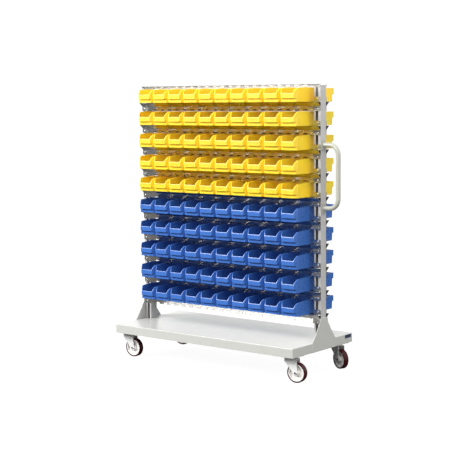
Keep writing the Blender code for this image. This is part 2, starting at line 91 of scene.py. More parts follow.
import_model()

# %% [markdown]
# ## Camera
# The photograph was taken with a long lens, level with the top of the rack, from the right of the
# front. The place and the angles come from fitting a camera to the straight edges of the tray and
# the rack. A camera could also be aimed with a constraint, but a plain matrix says exactly where
# it stands.

# %% Set the camera
MM = 0.001
CAMERA_PLACE = (3.903, -5.028, 1.372)
CAMERA_YAW = radians(37.95)
CAMERA_PITCH = radians(-6.28)
CAMERA_ROLL = radians(-0.45)
CAMERA_LENS = 94.75

camera_data = bpy.data.cameras.new("photo_camera")
camera_data.lens = CAMERA_LENS
camera_data.sensor_width = 36
camera_data.clip_end = 100
camera = bpy.data.objects.new("photo_camera", camera_data)
camera.matrix_world = (Matrix.Translation(CAMERA_PLACE)
                       @ Matrix.Rotation(CAMERA_YAW, 4, "Z")
                       @ Matrix.Rotation(pi / 2 + CAMERA_PITCH, 4, "X")
                       @ Matrix.Rotation(CAMERA_ROLL, 4, "Z"))
bpy.context.scene.collection.objects.link(camera)
bpy.context.scene.camera = camera
print("camera", [round(v, 3) for v in camera.matrix_world.translation])

# %% [markdown]
# ## Colours and nodes
# Colours are written as the hex values that a colour picker shows, and the shader wants linear
# light, so one function turns the one into the other. A second function adds a node with its
# settings and its links in one line. That keeps each finish short enough to read as a recipe.

# %% Helpers for colours and nodes
def colour(hexa):
    """Linear colour of an sRGB hex value."""
    channels = [int(hexa[i:i + 2], 16) / 255 for i in (0, 2, 4)]
    linear = [c / 12.92 if c <= 0.04045 else ((c + 0.055) / 1.055) ** 2.4 for c in channels]
    return (*linear, 1.0)


def add(material, kind, settings, links=()):
    """Add a node: settings are its own properties or the values of its inputs."""
    tree = material.node_tree
    node = tree.nodes.new(kind)
    for key, value in settings.items():
        if isinstance(key, str) and hasattr(node, key):
            setattr(node, key, value)
        else:
            node.inputs[key].default_value = value
    for key, source in dict(links).items():
        tree.links.new(source, node.inputs[key])
    return node


print("hex 808080 is", round(colour("808080")[0], 3), "in linear light")

# %% [markdown]
# Every finish starts alike: a new material and the piece's own coordinates, so that a pattern
# keeps its scale and its place on the piece. Noise at the size of the real marks then drives the
# colour, the gloss and the fine relief.

# %% Helpers for finishes
def finish(name, settings):
    """A new material, its shader with these values, and the piece's own coordinates."""
    material = bpy.data.materials.new(name)
    material.use_nodes = True
    shader = material.node_tree.nodes["Principled BSDF"]
    for key, value in settings.items():
        shader.inputs[key].default_value = value
    place = add(material, "ShaderNodeTexCoord", {})
    return material, shader, place.outputs["Object"]


def noise(material, place, size, detail=3.0, stretch=(1, 1, 1)):
    """Noise whose grains are about this size in metres, stretched along some axes."""
    scaled = add(material, "ShaderNodeMapping", {"Scale": stretch}, {"Vector": place})
    settings = {"Scale": 1 / size, "Detail": detail, "Roughness": 0.55}
    links = {"Vector": scaled.outputs["Vector"]}
    return add(material, "ShaderNodeTexNoise", settings, links).outputs["Fac"]


def between(material, factor, low=0.0, high=1.0, start=0.3, end=0.7):
    """A value that runs from low to high as the factor runs from start to end."""
    settings = {"From Min": start, "From Max": end, "To Min": low, "To Max": high}
    return add(material, "ShaderNodeMapRange", settings, {"Value": factor}).outputs["Result"]


def feed(material, source, shader, socket):
    """Link a value to a socket of the shader."""
    material.node_tree.links.new(source, shader.inputs[socket])


def tint(material, shader, factor, first, second):
    """Give a finish its colour, mixed of two hex colours by a factor."""
    settings = {"data_type": "RGBA", 6: colour(first), 7: colour(second)}
    mixed = add(material, "ShaderNodeMix", settings, {0: factor})
    feed(material, mixed.outputs[2], shader, "Base Color")


def bump(material, shader, height, depth, strength):
    """Fine relief of this depth in metres."""
    settings = {"Strength": strength, "Distance": depth}
    node = add(material, "ShaderNodeBump", settings, {"Height": height})
    feed(material, node.outputs["Normal"], shader, "Normal")


print("grains of 10 mm need a noise scale of", round(1 / (10 * MM)))

# %% [markdown]
# ## Bin plastic
# The bins are injection moulded polypropylene. The mould is lightly spark eroded, which gives a
# satin skin, and the thick walls sink a little as they cool, so broad soft waves run over the flat
# sides. The pigment is even, with only a slight cloudiness. A picture of plastic could be used
# instead, but noise keeps its scale on every face.

# %% Make the two bin plastics
# the real grain is some tenths of a millimetre, and is drawn coarser here so that it shows
MOULD_GRAIN = 1.1 * MM
SCUFF, SINK_WAVE, CLOUD = 9 * MM, 35 * MM, 60 * MM
GRAIN_SHARE = 0.08
SKIN_RELIEF = 0.15 * MM
WALL_GLOW = 9 * MM


def moulded_plastic(name, tone, cloud_tone, gloss, haze):
    """Satin moulded polypropylene in one pigment, light creeping through its walls by the haze."""
    settings = {"Roughness": gloss, "IOR": 1.49, "Subsurface Weight": haze,
                "Subsurface Radius": (1.0, 0.7, 0.15), "Subsurface Scale": WALL_GLOW}
    material, shader, place = finish(name, settings)
    tint(material, shader, between(material, noise(material, place, CLOUD)), tone, cloud_tone)
    scuff = noise(material, place, SCUFF, 5.0)
    feed(material, between(material, scuff, gloss - 0.06, gloss + 0.10), shader, "Roughness")
    grain = noise(material, place, MOULD_GRAIN, 2.0)
    wave = noise(material, place, SINK_WAVE, 1.0)
    settings = {"operation": "MULTIPLY_ADD", 1: GRAIN_SHARE}
    heights = add(material, "ShaderNodeMath", settings, {0: grain, 2: wave})
    bump(material, shader, heights.outputs[0], SKIN_RELIEF, 0.4)
    return material


# yellow: warm and saturated, it turns orange where the light bounces between two walls
YELLOW_PLASTIC = moulded_plastic("yellow_polypropylene", "FCD72F", "F8D12A", 0.36, 0.7)
# blue: deep, almost black inside the bins, pale where the front faces mirror the light
BLUE_PLASTIC = moulded_plastic("blue_polypropylene", "3A69B8", "3968B2", 0.27, 0.0)
print("plastics:", YELLOW_PLASTIC.name, BLUE_PLASTIC.name)

# %% [markdown]
# ## Painted and plated steel
# Powder coat melts in an oven and flows into a glossy skin with a slight orange peel, a few
# millimetres from crest to crest. Zinc plate is a thin bright metal skin that shows the roll marks
# of the sheet and clouds of lighter and darker crystal. Both are Principled shaders: the paint is
# not a metal and has a clear glossy layer, the zinc is a metal with uneven roughness. Only the
# caster pressings carry a milky lacquer over their zinc, so little of the metal's mirror is left.

# %% Make the paints and the zincs
ORANGE_PEEL, HANDLING = 2.5 * MM, 40 * MM
PEEL_RELIEF = 0.01 * MM
# real roll marks are under a millimetre apart, and are drawn coarser so that they show
ROLL_MARK, SPANGLE = 3.0 * MM, 14 * MM
ROLL_RELIEF = 0.02 * MM
ALONG_X = (0.04, 1, 1)


def powder_coat(name, tone, worn_tone, gloss, coat):
    """Glossy baked powder on folded steel."""
    settings = {"Roughness": gloss, "Coat Weight": coat, "Coat Roughness": 0.05}
    material, shader, place = finish(name, settings)
    handled = noise(material, place, HANDLING, 4.0)
    tint(material, shader, between(material, handled, start=0.35, end=0.75), tone, worn_tone)
    feed(material, between(material, handled, gloss - 0.02, gloss + 0.03), shader, "Roughness")
    bump(material, shader, noise(material, place, ORANGE_PEEL, 1.5), PEEL_RELIEF, 0.2)
    return material


def zinc_plate(name, tone, dull_tone, gloss, along=(1, 1, 1), metal=1.0):
    """Zinc on rolled steel, its roll marks drawn out along one direction."""
    material, shader, place = finish(name, {"Metallic": metal, "Roughness": gloss})
    spangle = between(material, noise(material, place, SPANGLE, 4.0))
    tint(material, shader, spangle, tone, dull_tone)
    marks = noise(material, place, ROLL_MARK, 3.0, along)
    feed(material, between(material, marks, gloss - 0.04, gloss + 0.06), shader, "Roughness")
    bump(material, shader, marks, ROLL_RELIEF, 0.3)
    return material


# tray and gusset plates: a pale grey that looks nearly white, its top mirrors the rack softly
TRAY_PAINT = powder_coat("pale_grey_powder_coat", "C3C3BE", "BFBFBA", 0.30, 0.25)
# posts: a greyer coat with a faint violet cast beside the tray's paint
POST_PAINT = powder_coat("grey_post_enamel", "BEBCBB", "B4B3B1", 0.33, 0.2)
# handle: a smooth stone grey coat on round tube, darker where hands have polished it
HANDLE_COAT = powder_coat("stone_grey_handle_enamel", "B7B8AC", "AEAFA3", 0.28, 0.3)
# rails: satin zinc that mirrors the bins below it
RAIL_ZINC = zinc_plate("zinc_plated_sheet", "C8C6C2", "C0BEBA", 0.25, ALONG_X)
# caster pressings: nearly white and soft, with only a trace of the metal
CASTER_ZINC = zinc_plate("bright_zinc_pressing", "F7F7F5", "EEEEED", 0.40, metal=0.2)
# bolts: bright zinc, small enough that only their shine shows
BOLT_ZINC = zinc_plate("zinc_bolt", "E0E2E4", "CED1D4", 0.22)
print("paints:", TRAY_PAINT.name, POST_PAINT.name, HANDLE_COAT.name)
print("zincs:", RAIL_ZINC.name, CASTER_ZINC.name, BOLT_ZINC.name)

# %% [markdown]
# ## Wheel plastics and the blank plate
# The wheel core is cream polyamide, a hard nylon that comes out of the mould satin and slightly
# mottled. The tread is cast polyurethane in a dark maroon: it is smooth, scuffed grey where it
# rolls, and shines a little at the shoulders. The little plate on the tray's end is a plain
# anodised one.

# %% Make the wheel plastics and the plate's finish
MOTTLE, ROLL_SCUFF, RACE_BLOTCH, PLUG_BLOTCH = 12 * MM, 5 * MM, 6 * MM, 4 * MM
# real brush lines are a few hundredths of a millimetre, and are drawn coarser so that they show
BRUSH_LINE, ALONG_Y = 1.5 * MM, (1, 0.05, 1)

# core: creamy white and satin, with faint flow marks from the mould
WHEEL_CREAM, shader, place = finish("cream_polyamide", {"Roughness": 0.42, "IOR": 1.53})
mottle = between(WHEEL_CREAM, noise(WHEEL_CREAM, place, MOTTLE))
tint(WHEEL_CREAM, shader, mottle, "F1EFEB", "E9E6E2")
bump(WHEEL_CREAM, shader, noise(WHEEL_CREAM, place, MOULD_GRAIN), 0.05 * MM, 0.5)

# maroon: nearly black in the shade, wine red where light falls on it
TREAD_MAROON, shader, place = finish("maroon_polyurethane", {"Roughness": 0.38, "IOR": 1.3})
scuffed = between(TREAD_MAROON, noise(TREAD_MAROON, place, ROLL_SCUFF, 5.0), start=0.45, end=0.75)
tint(TREAD_MAROON, shader, scuffed, "38040E", "420C16")
feed(TREAD_MAROON, between(TREAD_MAROON, scuffed, 0.36, 0.55, 0.0, 1.0), shader, "Roughness")
bump(TREAD_MAROON, shader, scuffed, 0.08 * MM, 0.4)

# race: steel coloured nearly black as painted shade, with random blotches, so it draws the dark
# line between tray and fork
RACE_SHADE_BLACK, shader, place = finish("greased_race_steel", {"Metallic": 0.6, "Roughness": 0.45})
race_shade_blotch = between(RACE_SHADE_BLACK, noise(RACE_SHADE_BLACK, place, RACE_BLOTCH))
tint(RACE_SHADE_BLACK, shader, race_shade_blotch, "1C1C1E", "2A2A2C")

# end plugs: dull and nearly black, their black is painted shade for the hollow wedges of the rails
# that they stop
PLUG_SHADE_BLACK, shader, place = finish("black_polyethylene", {"Roughness": 0.55})
plug_blotch = between(PLUG_SHADE_BLACK, noise(PLUG_SHADE_BLACK, place, PLUG_BLOTCH))
tint(PLUG_SHADE_BLACK, shader, plug_blotch, "060607", "0C0C0E")

# blank plate: slate blue and satin, with fine brush lines along it
PLATE_ALLOY, shader, place = finish("plain_anodised_aluminium", {"Metallic": 1.0, "Roughness": 0.4})
brushed = between(PLATE_ALLOY, noise(PLATE_ALLOY, place, BRUSH_LINE, 3.0, ALONG_Y))
tint(PLATE_ALLOY, shader, brushed, "5E6C93", "525F86")
print("wheel plastics:", WHEEL_CREAM.name, TREAD_MAROON.name, "plate:", PLATE_ALLOY.name)

# %% [markdown]
# ## Starting a piece
# Every piece below starts as a primitive, at its size and place, and is then shaped in edit mode.
# An operator works on whatever is selected, so each helper first drops the old selection. The
# place of a finished piece is kept in its mesh, as the CAD's own pieces keep theirs.

# %% Helpers for starting a piece
def drop_selection():
    """Leave edit mode and select nothing."""
    if bpy.context.object and bpy.context.object.mode != "OBJECT":
        bpy.ops.object.mode_set(mode="OBJECT")
    bpy.ops.object.select_all(action="DESELECT")


def take(piece):
    """Make one piece the selected and active one."""
    drop_selection()
    piece.select_set(True)
    bpy.context.view_layer.objects.active = piece


def started(name):
    """Name the primitive that was just added and move its place into its mesh."""
    piece = bpy.context.object
    piece.name = name
    piece.data.name = name
    bpy.ops.object.transform_apply(location=True, rotation=True, scale=True)
    return piece


def block(name, low, high):
    """A box between two corners."""
    drop_selection()
    low, high = Vector(low), Vector(high)
    bpy.ops.mesh.primitive_cube_add(size=1, location=(low + high) / 2)
    bpy.context.object.scale = high - low
    return started(name)


def size_of(piece):
    """Leave edit mode and measure a piece, in millimetres."""
    drop_selection()
    corners = [Vector(corner) for corner in piece.bound_box]
    spans = [max(c[i] for c in corners) - min(c[i] for c in corners) for i in range(3)]
    return [round(span / MM, 1) for span in spans]


# %% [markdown]
# ## Picking faces, edges and corners
# By hand one clicks on a face. In a script it is picked by a test of where it lies or points. One
# function does that for faces, edges and vertices alike, and says how many it found.

# %% Helpers for picking
def pick(piece, mode, test):
    """Enter edit mode and select the faces, edges or vertices that pass a test."""
    if piece.mode != "EDIT":
        take(piece)
        bpy.ops.object.mode_set(mode="EDIT")
    bpy.ops.mesh.select_mode(type=mode)
    bpy.ops.mesh.select_all(action="DESELECT")
    mesh = bmesh.from_edit_mesh(piece.data)
    things = {"FACE": mesh.faces, "EDGE": mesh.edges, "VERT": mesh.verts}[mode]
    for thing in things:
        if test(thing):
            thing.select_set(True)
    if mode == "VERT":
        mesh.select_flush_mode()
    bmesh.update_edit_mesh(piece.data)
    return sum(thing.select for thing in things)


def middle(thing):
    """Middle of a face, an edge or a vertex."""
    if isinstance(thing, bmesh.types.BMVert):
        return thing.co
    points = [vertex.co for vertex in thing.verts]
    return sum(points, Vector()) / len(points)


print("faces, edges and vertices can be picked")

# %% [markdown]
# The tests that come up often are functions too. Most of them are made for one height, depth or
# angle, so they read like words where they are used.

# %% Tests for picking
NEAR = 0.1 * MM


def everything(thing):
    """A test that every face, edge or vertex passes."""
    return True


def at_height(height):
    """A test for things at one height."""
    return lambda thing: abs(middle(thing).z - height) < NEAR


def at_depth(depth):
    """A test for things at one place between front and rear."""
    return lambda thing: abs(middle(thing).y - depth) < NEAR


def sharper(degrees):
    """A test for edges whose two faces meet at more than this angle."""
    return lambda edge: len(edge.link_faces) == 2 and edge.calc_face_angle() > radians(degrees)


def along(axis):
    """A test for edges that run along an axis, 0 for X to 2 for Z."""
    return lambda edge: abs(edge.verts[0].co[axis] - edge.verts[1].co[axis]) > 0.5 * MM


print("places are told apart to", NEAR / MM, "mm")

# %% [markdown]
# ## Shaping
# These are the edit-mode tools that the pieces share: slice, score, draw out, inset, move, squeeze
# and round. Each takes the test that says where it works.

# %% Helpers for shaping
def cut(piece, point, normal):
    """Slice the mesh with a plane, take off the side its normal points to and close the cut."""
    pick(piece, "FACE", everything)
    bpy.ops.mesh.bisect(plane_co=point, plane_no=normal, use_fill=True, clear_outer=True)
    pick(piece, "FACE", everything)
    bpy.ops.mesh.normals_make_consistent(inside=False)


def score(piece, test, point, normal):
    """Cut the faces that pass a test in two along a plane."""
    pick(piece, "FACE", test)
    bpy.ops.mesh.bisect(plane_co=point, plane_no=normal)


def take_out(piece, test):
    """Delete the faces that pass a test."""
    pick(piece, "FACE", test)
    bpy.ops.mesh.delete(type="FACE")


def draw(move):
    """Extrude what is selected."""
    bpy.ops.mesh.extrude_region_move(TRANSFORM_OT_translate={"value": move})


def squeeze(shares, centre):
    """Scale what is selected about a point."""
    bpy.ops.transform.resize(value=shares, center_override=centre)


def inset(piece, test, rim, depth=0.0):
    """Inset the faces that pass a test, as one region, and sink them by a negative depth."""
    pick(piece, "FACE", test)
    bpy.ops.mesh.inset(thickness=rim, depth=depth)


def shift(piece, test, move):
    """Move the vertices that pass a test."""
    pick(piece, "VERT", test)
    bpy.ops.transform.translate(value=move)


def bevel(piece, test, width, segments=2):
    """Round the edges that pass a test."""
    if pick(piece, "EDGE", test):
        bpy.ops.mesh.bevel(offset=width, offset_type="OFFSET", segments=segments, affect="EDGES")


print("eight tools shape the pieces")

# %% [markdown]
# ## Finishing and copying
# A finished piece has its faces turned outwards, smooth bends beside flat sheet, and one finish.
# Weighted normals keep the flats flat, where plain smooth shading would make them look dented.

# %% Helpers for finishing
def modify(piece, kind, settings):
    """Add a modifier and apply it."""
    take(piece)
    modifier = piece.modifiers.new(kind.lower(), kind)
    for key, value in settings.items():
        setattr(modifier, key, value)
    bpy.ops.object.modifier_apply(modifier=modifier.name)


def thicken(piece, sheet):
    """Give a sheet its thickness, inwards."""
    modify(piece, "SOLIDIFY", {"thickness": sheet, "offset": -1, "use_even_offset": True})


def dress(piece, material, smooth_angle=50):
    """Turn the faces outwards, keep flats flat and bevels soft, and give the piece its finish."""
    pick(piece, "FACE", everything)
    bpy.ops.mesh.remove_doubles(threshold=0.00001)
    bpy.ops.mesh.normals_make_consistent(inside=False)
    take(piece)
    bpy.ops.object.shade_smooth_by_angle(angle=radians(smooth_angle))
    modify(piece, "WEIGHTED_NORMAL", {"keep_sharp": True})
    piece.data.materials.clear()
    piece.data.materials.append(material)
    return piece


print("materials so far:", len(bpy.data.materials))

# %% [markdown]
# What repeats is modelled once and copied. Linked copies would save memory, but each piece here
# needs a mesh of its own, because its place is kept in the mesh.

# %% Helpers for copies
def copied(piece, name, place=Matrix()):
    """A copy with its own mesh, moved by a matrix that is kept in the mesh."""
    if piece.mode != "OBJECT":
        drop_selection()
    copy = piece.copy()
    copy.data = piece.data.copy()
    copy.name = name
    copy.data.name = name
    copy.data.transform(place)
    bpy.context.scene.collection.objects.link(copy)
    return copy


def joined(name, pieces):
    """One piece made of several."""
    drop_selection()
    for piece in pieces:
        piece.select_set(True)
    bpy.context.view_layer.objects.active = pieces[0]
    bpy.ops.object.join()
    pieces[0].name = name
    pieces[0].data.name = name
    return pieces[0]


# %% [markdown]
# ## The floor and the light
# A product photographer would stand the cart on white paper that sweeps up behind it. The floor is
# one big plane that glows for the camera, so that the shadows stay faint. A curved sweep would do
# from the front, but its bend would show from the sides.

# %% Stage the floor
FLOOR_SIZE = 60.0
FLOOR_GLOW = 0.95
PAPER_CLOUD = 0.8

drop_selection()
bpy.ops.mesh.primitive_plane_add(size=FLOOR_SIZE, location=(0, 0, 0))
floor = started("studio_floor")
# to the camera the paper glows as a lit sweep does, to the cart it is a grey floor
FLOOR_WHITE, shader, place = finish("matt_studio_white",
                                    {"Roughness": 0.9, "Specular IOR Level": 0.0,
                                     "Emission Color": (1, 1, 1, 1)})
pale = between(FLOOR_WHITE, noise(FLOOR_WHITE, place, PAPER_CLOUD))
tint(FLOOR_WHITE, shader, pale, "5C5C5C", "5A5A5A")
seen = add(FLOOR_WHITE, "ShaderNodeLightPath", {}).outputs["Is Camera Ray"]
glow = between(FLOOR_WHITE, seen, 0.0, FLOOR_GLOW, 0.0, 1.0)
feed(FLOOR_WHITE, glow, shader, "Emission Strength")
floor.data.materials.append(FLOOR_WHITE)
floor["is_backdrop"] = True
print("floor", size_of(floor), "mm")

# %% [markdown]
# The room is dim, under large soft boxes. The world is bright behind the cart, where the paper
# hangs. In front it is dark at the height of the cart and lighter towards the ceiling. The boxes
# hang high: a strong one at the left, and weaker ones beside the camera and at the right end. None
# of them stands level with the rack, so the rails deep between the bins get only the light that
# the bins throw at them, and turn orange or dark blue. The Standard view keeps the yellow pure,
# where a filmic one would wash it out.

# %% Hang the lights
RACK_MIDDLE = (-0.047, 0, 0.85)
HORIZON_LIGHT, CEILING_LIGHT, PAPER_LIGHT, SEEN_WHITE = 0.02, 0.75, 1.25, 1.05


def softbox(name, place, size, power):
    """A square area light aimed at the middle of the rack."""
    data = bpy.data.lights.new(name, "AREA")
    data.shape = "SQUARE"
    data.size = size
    data.energy = power
    light = bpy.data.objects.new(name, data)
    light.location = place
    aim = Vector(RACK_MIDDLE) - Vector(place)
    light.rotation_euler = aim.to_track_quat("-Z", "Y").to_euler()
    bpy.context.scene.collection.objects.link(light)
    light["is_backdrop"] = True


softbox("left_softbox", (-3.4, -4.8, 3.8), 3.0, 535)
softbox("camera_softbox", (1.6, -4.4, 4.6), 2.6, 150)
softbox("right_softbox", (4.6, -0.9, 2.3), 3.8, 95)

world = bpy.data.worlds.new("white_studio")
world.use_nodes = True
sky = world.node_tree.nodes["Background"]
sky.inputs["Color"].default_value = (1, 1, 1, 1)
direction = add(world, "ShaderNodeTexCoord", {}).outputs["Generated"]
parts = add(world, "ShaderNodeSeparateXYZ", {}, {"Vector": direction}).outputs
room_light = between(world, parts["Z"], HORIZON_LIGHT, CEILING_LIGHT, 0.1, 0.6)
turned_to_paper = between(world, parts["Y"], 0.0, 1.0, -0.1, 0.5)
settings = {"data_type": "FLOAT", 3: PAPER_LIGHT}
light = add(world, "ShaderNodeMix", settings, {0: turned_to_paper, 2: room_light})
seen = add(world, "ShaderNodeLightPath", {}).outputs["Is Camera Ray"]
settings = {"data_type": "FLOAT", 3: SEEN_WHITE}
level = add(world, "ShaderNodeMix", settings, {0: seen, 2: light.outputs[0]})
feed(world, level.outputs[0], sky, "Strength")
bpy.context.scene.world = world
bpy.context.scene.view_settings.view_transform = "Standard"

# %% [markdown]
# ## One bin
# A shelf bin is moulded in one shot: a floor, thin walls with a slight draft, a thick rim that
# stiffens them, and a hollow lip at the back to pull it by. From the side the rim falls in a curve
# to a low front panel, so that a hand can reach in. The front corners are cut off, because two
# moulds side by side leave room there for the fingers.
#
# The outline is convex, so the bin starts as a block and the planes of its outline slice the rest
# away. Extruding a side profile would do as well, but slicing keeps every number in sight.

# %% Slice the outline of the bin
ROW_ONE_LOW, ROW_ONE_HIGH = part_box("bin_row_01")
BINS_A_ROW, BIN_GAP = 10, 3 * MM
BIN_PITCH = (ROW_ONE_HIGH.x - ROW_ONE_LOW.x + BIN_GAP) / BINS_A_ROW
HALF = BIN_PITCH / 2 - BIN_GAP / 2
FRONT, REAR = ROW_ONE_LOW.y, ROW_ONE_HIGH.y
TALL = ROW_ONE_HIGH.z - ROW_ONE_LOW.z
LIP_LENGTH, BACK_SLANT = 11 * MM, 2.5 * MM
LIP_ROOT, LIP_FOOT = REAR - LIP_LENGTH, TALL - 33.6 * MM
SHOULDER, CORNER_CUT = FRONT + 22 * MM, 13 * MM
PANEL_LOW, PANEL_HIGH = 19 * MM, 40 * MM
# rim from the panel to the back, as pairs of reach and height
RIM = [(FRONT, PANEL_HIGH), (FRONT + 7 * MM, 55 * MM), (SHOULDER, TALL - 3.6 * MM),
       (-66 * MM, TALL), (REAR, TALL - 4.6 * MM)]

slim_bin = block("slim_bin", (-HALF, FRONT, 0), (HALF, REAR, TALL))
for side in (1, -1):
    cut(slim_bin, (side * HALF, SHOULDER, 0), (side * (SHOULDER - FRONT), -CORNER_CUT, 0))
for (near, low), (far, high) in zip(RIM, RIM[1:]):
    cut(slim_bin, (0, near, low), (0, low - high, far - near))
cut(slim_bin, (0, LIP_ROOT - BACK_SLANT, 0), (0, LIP_FOOT, -BACK_SLANT))
print("bin block", size_of(slim_bin), "mm,", len(slim_bin.data.polygons), "faces")

# %% [markdown]
# The lip is drawn out of the upper part of the back and hollowed from below. The front panel
# overhangs a recessed foot, and the foot ends in a thin lighter band where the bin stands on its
# rail: here the front face is sliced at those heights, and the slices between are moved back.

# %% Draw out the lip and the foot
FOOT_BAND, BAND_STEP, FOOT_TOP = 9.5 * MM, 0.8 * MM, 17.5 * MM
# band and recess: between which heights, how far they stand back, how much wider they then are
FOOT_PARTS = ((-MM, FOOT_BAND + NEAR, 10 * MM, 1.16),
              (FOOT_BAND + NEAR, FOOT_TOP + MM, 13 * MM, 1.2))
BIN_EDGE = 0.9 * MM

score(slim_bin, lambda face: face.normal.y > 0.9, (0, 0, LIP_FOOT), (0, 0, 1))
pick(slim_bin, "FACE", lambda face: face.normal.y > 0.9 and middle(face).z > LIP_FOOT)
draw((0, LIP_LENGTH, 0))
squeeze((1, 0, 1), (0, REAR, 0))
for height in (FOOT_BAND, FOOT_BAND + BAND_STEP, FOOT_TOP, PANEL_LOW):
    score(slim_bin, lambda face: face.normal.y < -0.1, (0, 0, height), (0, 0, 1))
for low, high, back, spread in FOOT_PARTS:
    shift(slim_bin, lambda v: v.co.y < SHOULDER - MM and low < v.co.z < high, (0, back, 0))
    squeeze((spread, 1, 1), (0, 0, 0))
bevel(slim_bin, lambda edge: sharper(28)(edge) and not FOOT_BAND < middle(edge).z < PANEL_LOW,
      BIN_EDGE)
print("bin with its lip", size_of(slim_bin), "mm,", len(slim_bin.data.polygons), "faces")

# %% [markdown]
# The hollow follows the rim a wall's thickness inside it. Its walls drop in three steps: to a ledge
# behind the front panel, back over the recessed foot, and down to the floor.

# %% Hollow the bin
RIM_WIDTH = 3.2 * MM
PANEL_LEDGE, FOOT_ROOF, FLOOR = 24 * MM, 19.5 * MM, 2.6 * MM
STEP_SHARE = 0.36
BACK_DRAFT = 3.6 * MM


def sink(height):
    """Draw the selected faces straight down to one height."""
    draw((0, 0, 0))
    squeeze((1, 1, 0), (0, 0, height))


def is_rim(face):
    """Whether a face lies on the rim's curve, not on the lip."""
    at = middle(face)
    return face.normal.z > 0.3 and at.z > PANEL_HIGH and abs(at.x) < MM and at.y < LIP_ROOT


inset(slim_bin, is_rim, RIM_WIDTH)
sink(PANEL_LEDGE)
sink(FOOT_ROOF)
pick(slim_bin, "VERT", lambda v: at_height(FOOT_ROOF)(v) and FRONT + MM < v.co.y < SHOULDER)
squeeze((1, STEP_SHARE, 1), (0, SHOULDER, 0))
pick(slim_bin, "FACE", lambda face: at_height(FOOT_ROOF)(face) and face.normal.z > 0.9)
sink(FLOOR)
shift(slim_bin, lambda v: at_height(FLOOR)(v) and v.co.y > 0, (0, -BACK_DRAFT, 0))
print("hollow bin", size_of(slim_bin), "mm,", len(slim_bin.data.polygons), "faces")

# %% [markdown]
# On each side the mould leaves a shallow field between the rim and the foot band, and on the front
# a field for a paper label. Both are insets that sink a little. The lip is hollowed from below the
# same way, so that fingers find an edge to pull at.

# %% Sink the fields and hollow the lip
FIELD_FOOT, FIELD_RIM, FIELD_DEPTH = 5 * MM, 4 * MM, 0.8 * MM
LABEL_RIM, LABEL_SLOPE, LABEL_DEPTH = 1.3 * MM, 0.4 * MM, 0.6 * MM
LIP_WALL, LIP_HOLLOW = 2.2 * MM, 22 * MM


def is_side(face):
    """Whether a face lies on the outer side of a wall."""
    return abs(face.normal.x) > 0.99 and abs(middle(face).x) > HALF - NEAR


score(slim_bin, is_side, (0, 0, FIELD_FOOT), (0, 0, 1))
inset(slim_bin, lambda face: is_side(face) and middle(face).z > FIELD_FOOT
      and middle(face).y < LIP_ROOT, FIELD_RIM, -FIELD_DEPTH)
inset(slim_bin, lambda face: face.normal.y < -0.99 and PANEL_LOW < middle(face).z < PANEL_HIGH
      and middle(face).y < FRONT + NEAR, LABEL_RIM)
bpy.ops.mesh.inset(thickness=LABEL_SLOPE, depth=-LABEL_DEPTH)
inset(slim_bin, lambda face: face.normal.z < -0.9 and middle(face).y > LIP_ROOT, LIP_WALL)
draw((0, 0, LIP_HOLLOW))
dress(slim_bin, YELLOW_PLASTIC)
print("finished bin", size_of(slim_bin), "mm,", len(slim_bin.data.polygons), "faces")

# %% [markdown]
# ## A hundred bins
# Every bin is the same moulding, so the finished one is copied to its place in each row: five rows
# of yellow ones over five rows of blue ones. Each copy has a mesh of its own. The last bin of one
# yellow row and of one blue row rides on its own body, because the CAD lets it slide out.

# %% Fill the rack
ROWS = range(1, 11)
YELLOW_ROWS = 5


def place_bin(name, left, sole, body, node):
    """A copy of the bin with its left side and its sole at these places."""
    piece = copied(slim_bin, name, Matrix.Translation((left + HALF, 0, sole)))
    if "blue" in name:
        piece.data.materials[0] = BLUE_PLASTIC
    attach(piece, body)
    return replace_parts(piece, node)


for row in ROWS:
    tone = "yellow" if row <= YELLOW_ROWS else "blue"
    node = f"bin_row_{row:02d}"
    low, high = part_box(node)
    for column in range(round((high.x - low.x) / BIN_PITCH)):
        name = f"{tone}_bin_{row:02d}_{column + 1:02d}"
        place_bin(name, low.x + column * BIN_PITCH, low.z, "cart", node)
for tone in ("yellow", "blue"):
    node = f"slide_bin_{tone}"
    low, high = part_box(node)
    place_bin(f"{tone}_bin_that_slides", low.x, low.z, f"{tone}_bin", node)
bpy.data.objects.remove(slim_bin)

# %% [markdown]
# ## Rails
# Each row of bins stands on two rails folded from zinc plated sheet: a narrow ledge, a face that
# slants back under it, and a flange whose notches count off the places for the bins. At both ends
# a tab stands up and is bolted to the post with one bolt, and the flange takes a second one.
# Between the posts the flange leans back a few degrees. That small lean matters to the eye: a
# bright sheet that leans back mirrors the bins of the row below, and so the rails look orange
# between yellow rows, dark between blue ones and pale above the tray.
#
# Folded sheet is modelled the way it is made: a strip is folded edge by edge, its bends are
# rounded, and the thickness comes last. So the steps of folding are functions first.

# %% Helpers for folded sheet
RAIL_LOW, RAIL_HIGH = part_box("front_rail_01")
MIDDLE_X = (RAIL_LOW.x + RAIL_HIGH.x) / 2
HALF_LENGTH = (RAIL_HIGH.x - RAIL_LOW.x) / 2
NOTCHES, NOTCH_WIDTH, NOTCH_DEPTH = 20, 23.5 * MM, 9.5 * MM


def flat(name, low, high):
    """A flat sheet between two corners of the same height."""
    drop_selection()
    low, high = Vector(low), Vector(high)
    bpy.ops.mesh.primitive_plane_add(size=1, location=(low + high) / 2)
    bpy.context.object.scale = (high.x - low.x, high.y - low.y, 1)
    return started(name)


def fold(piece, test, move):
    """Draw a new strip of sheet out of the edges that pass a test."""
    pick(piece, "EDGE", test)
    bpy.ops.mesh.extrude_edges_move(TRANSFORM_OT_translate={"value": move})


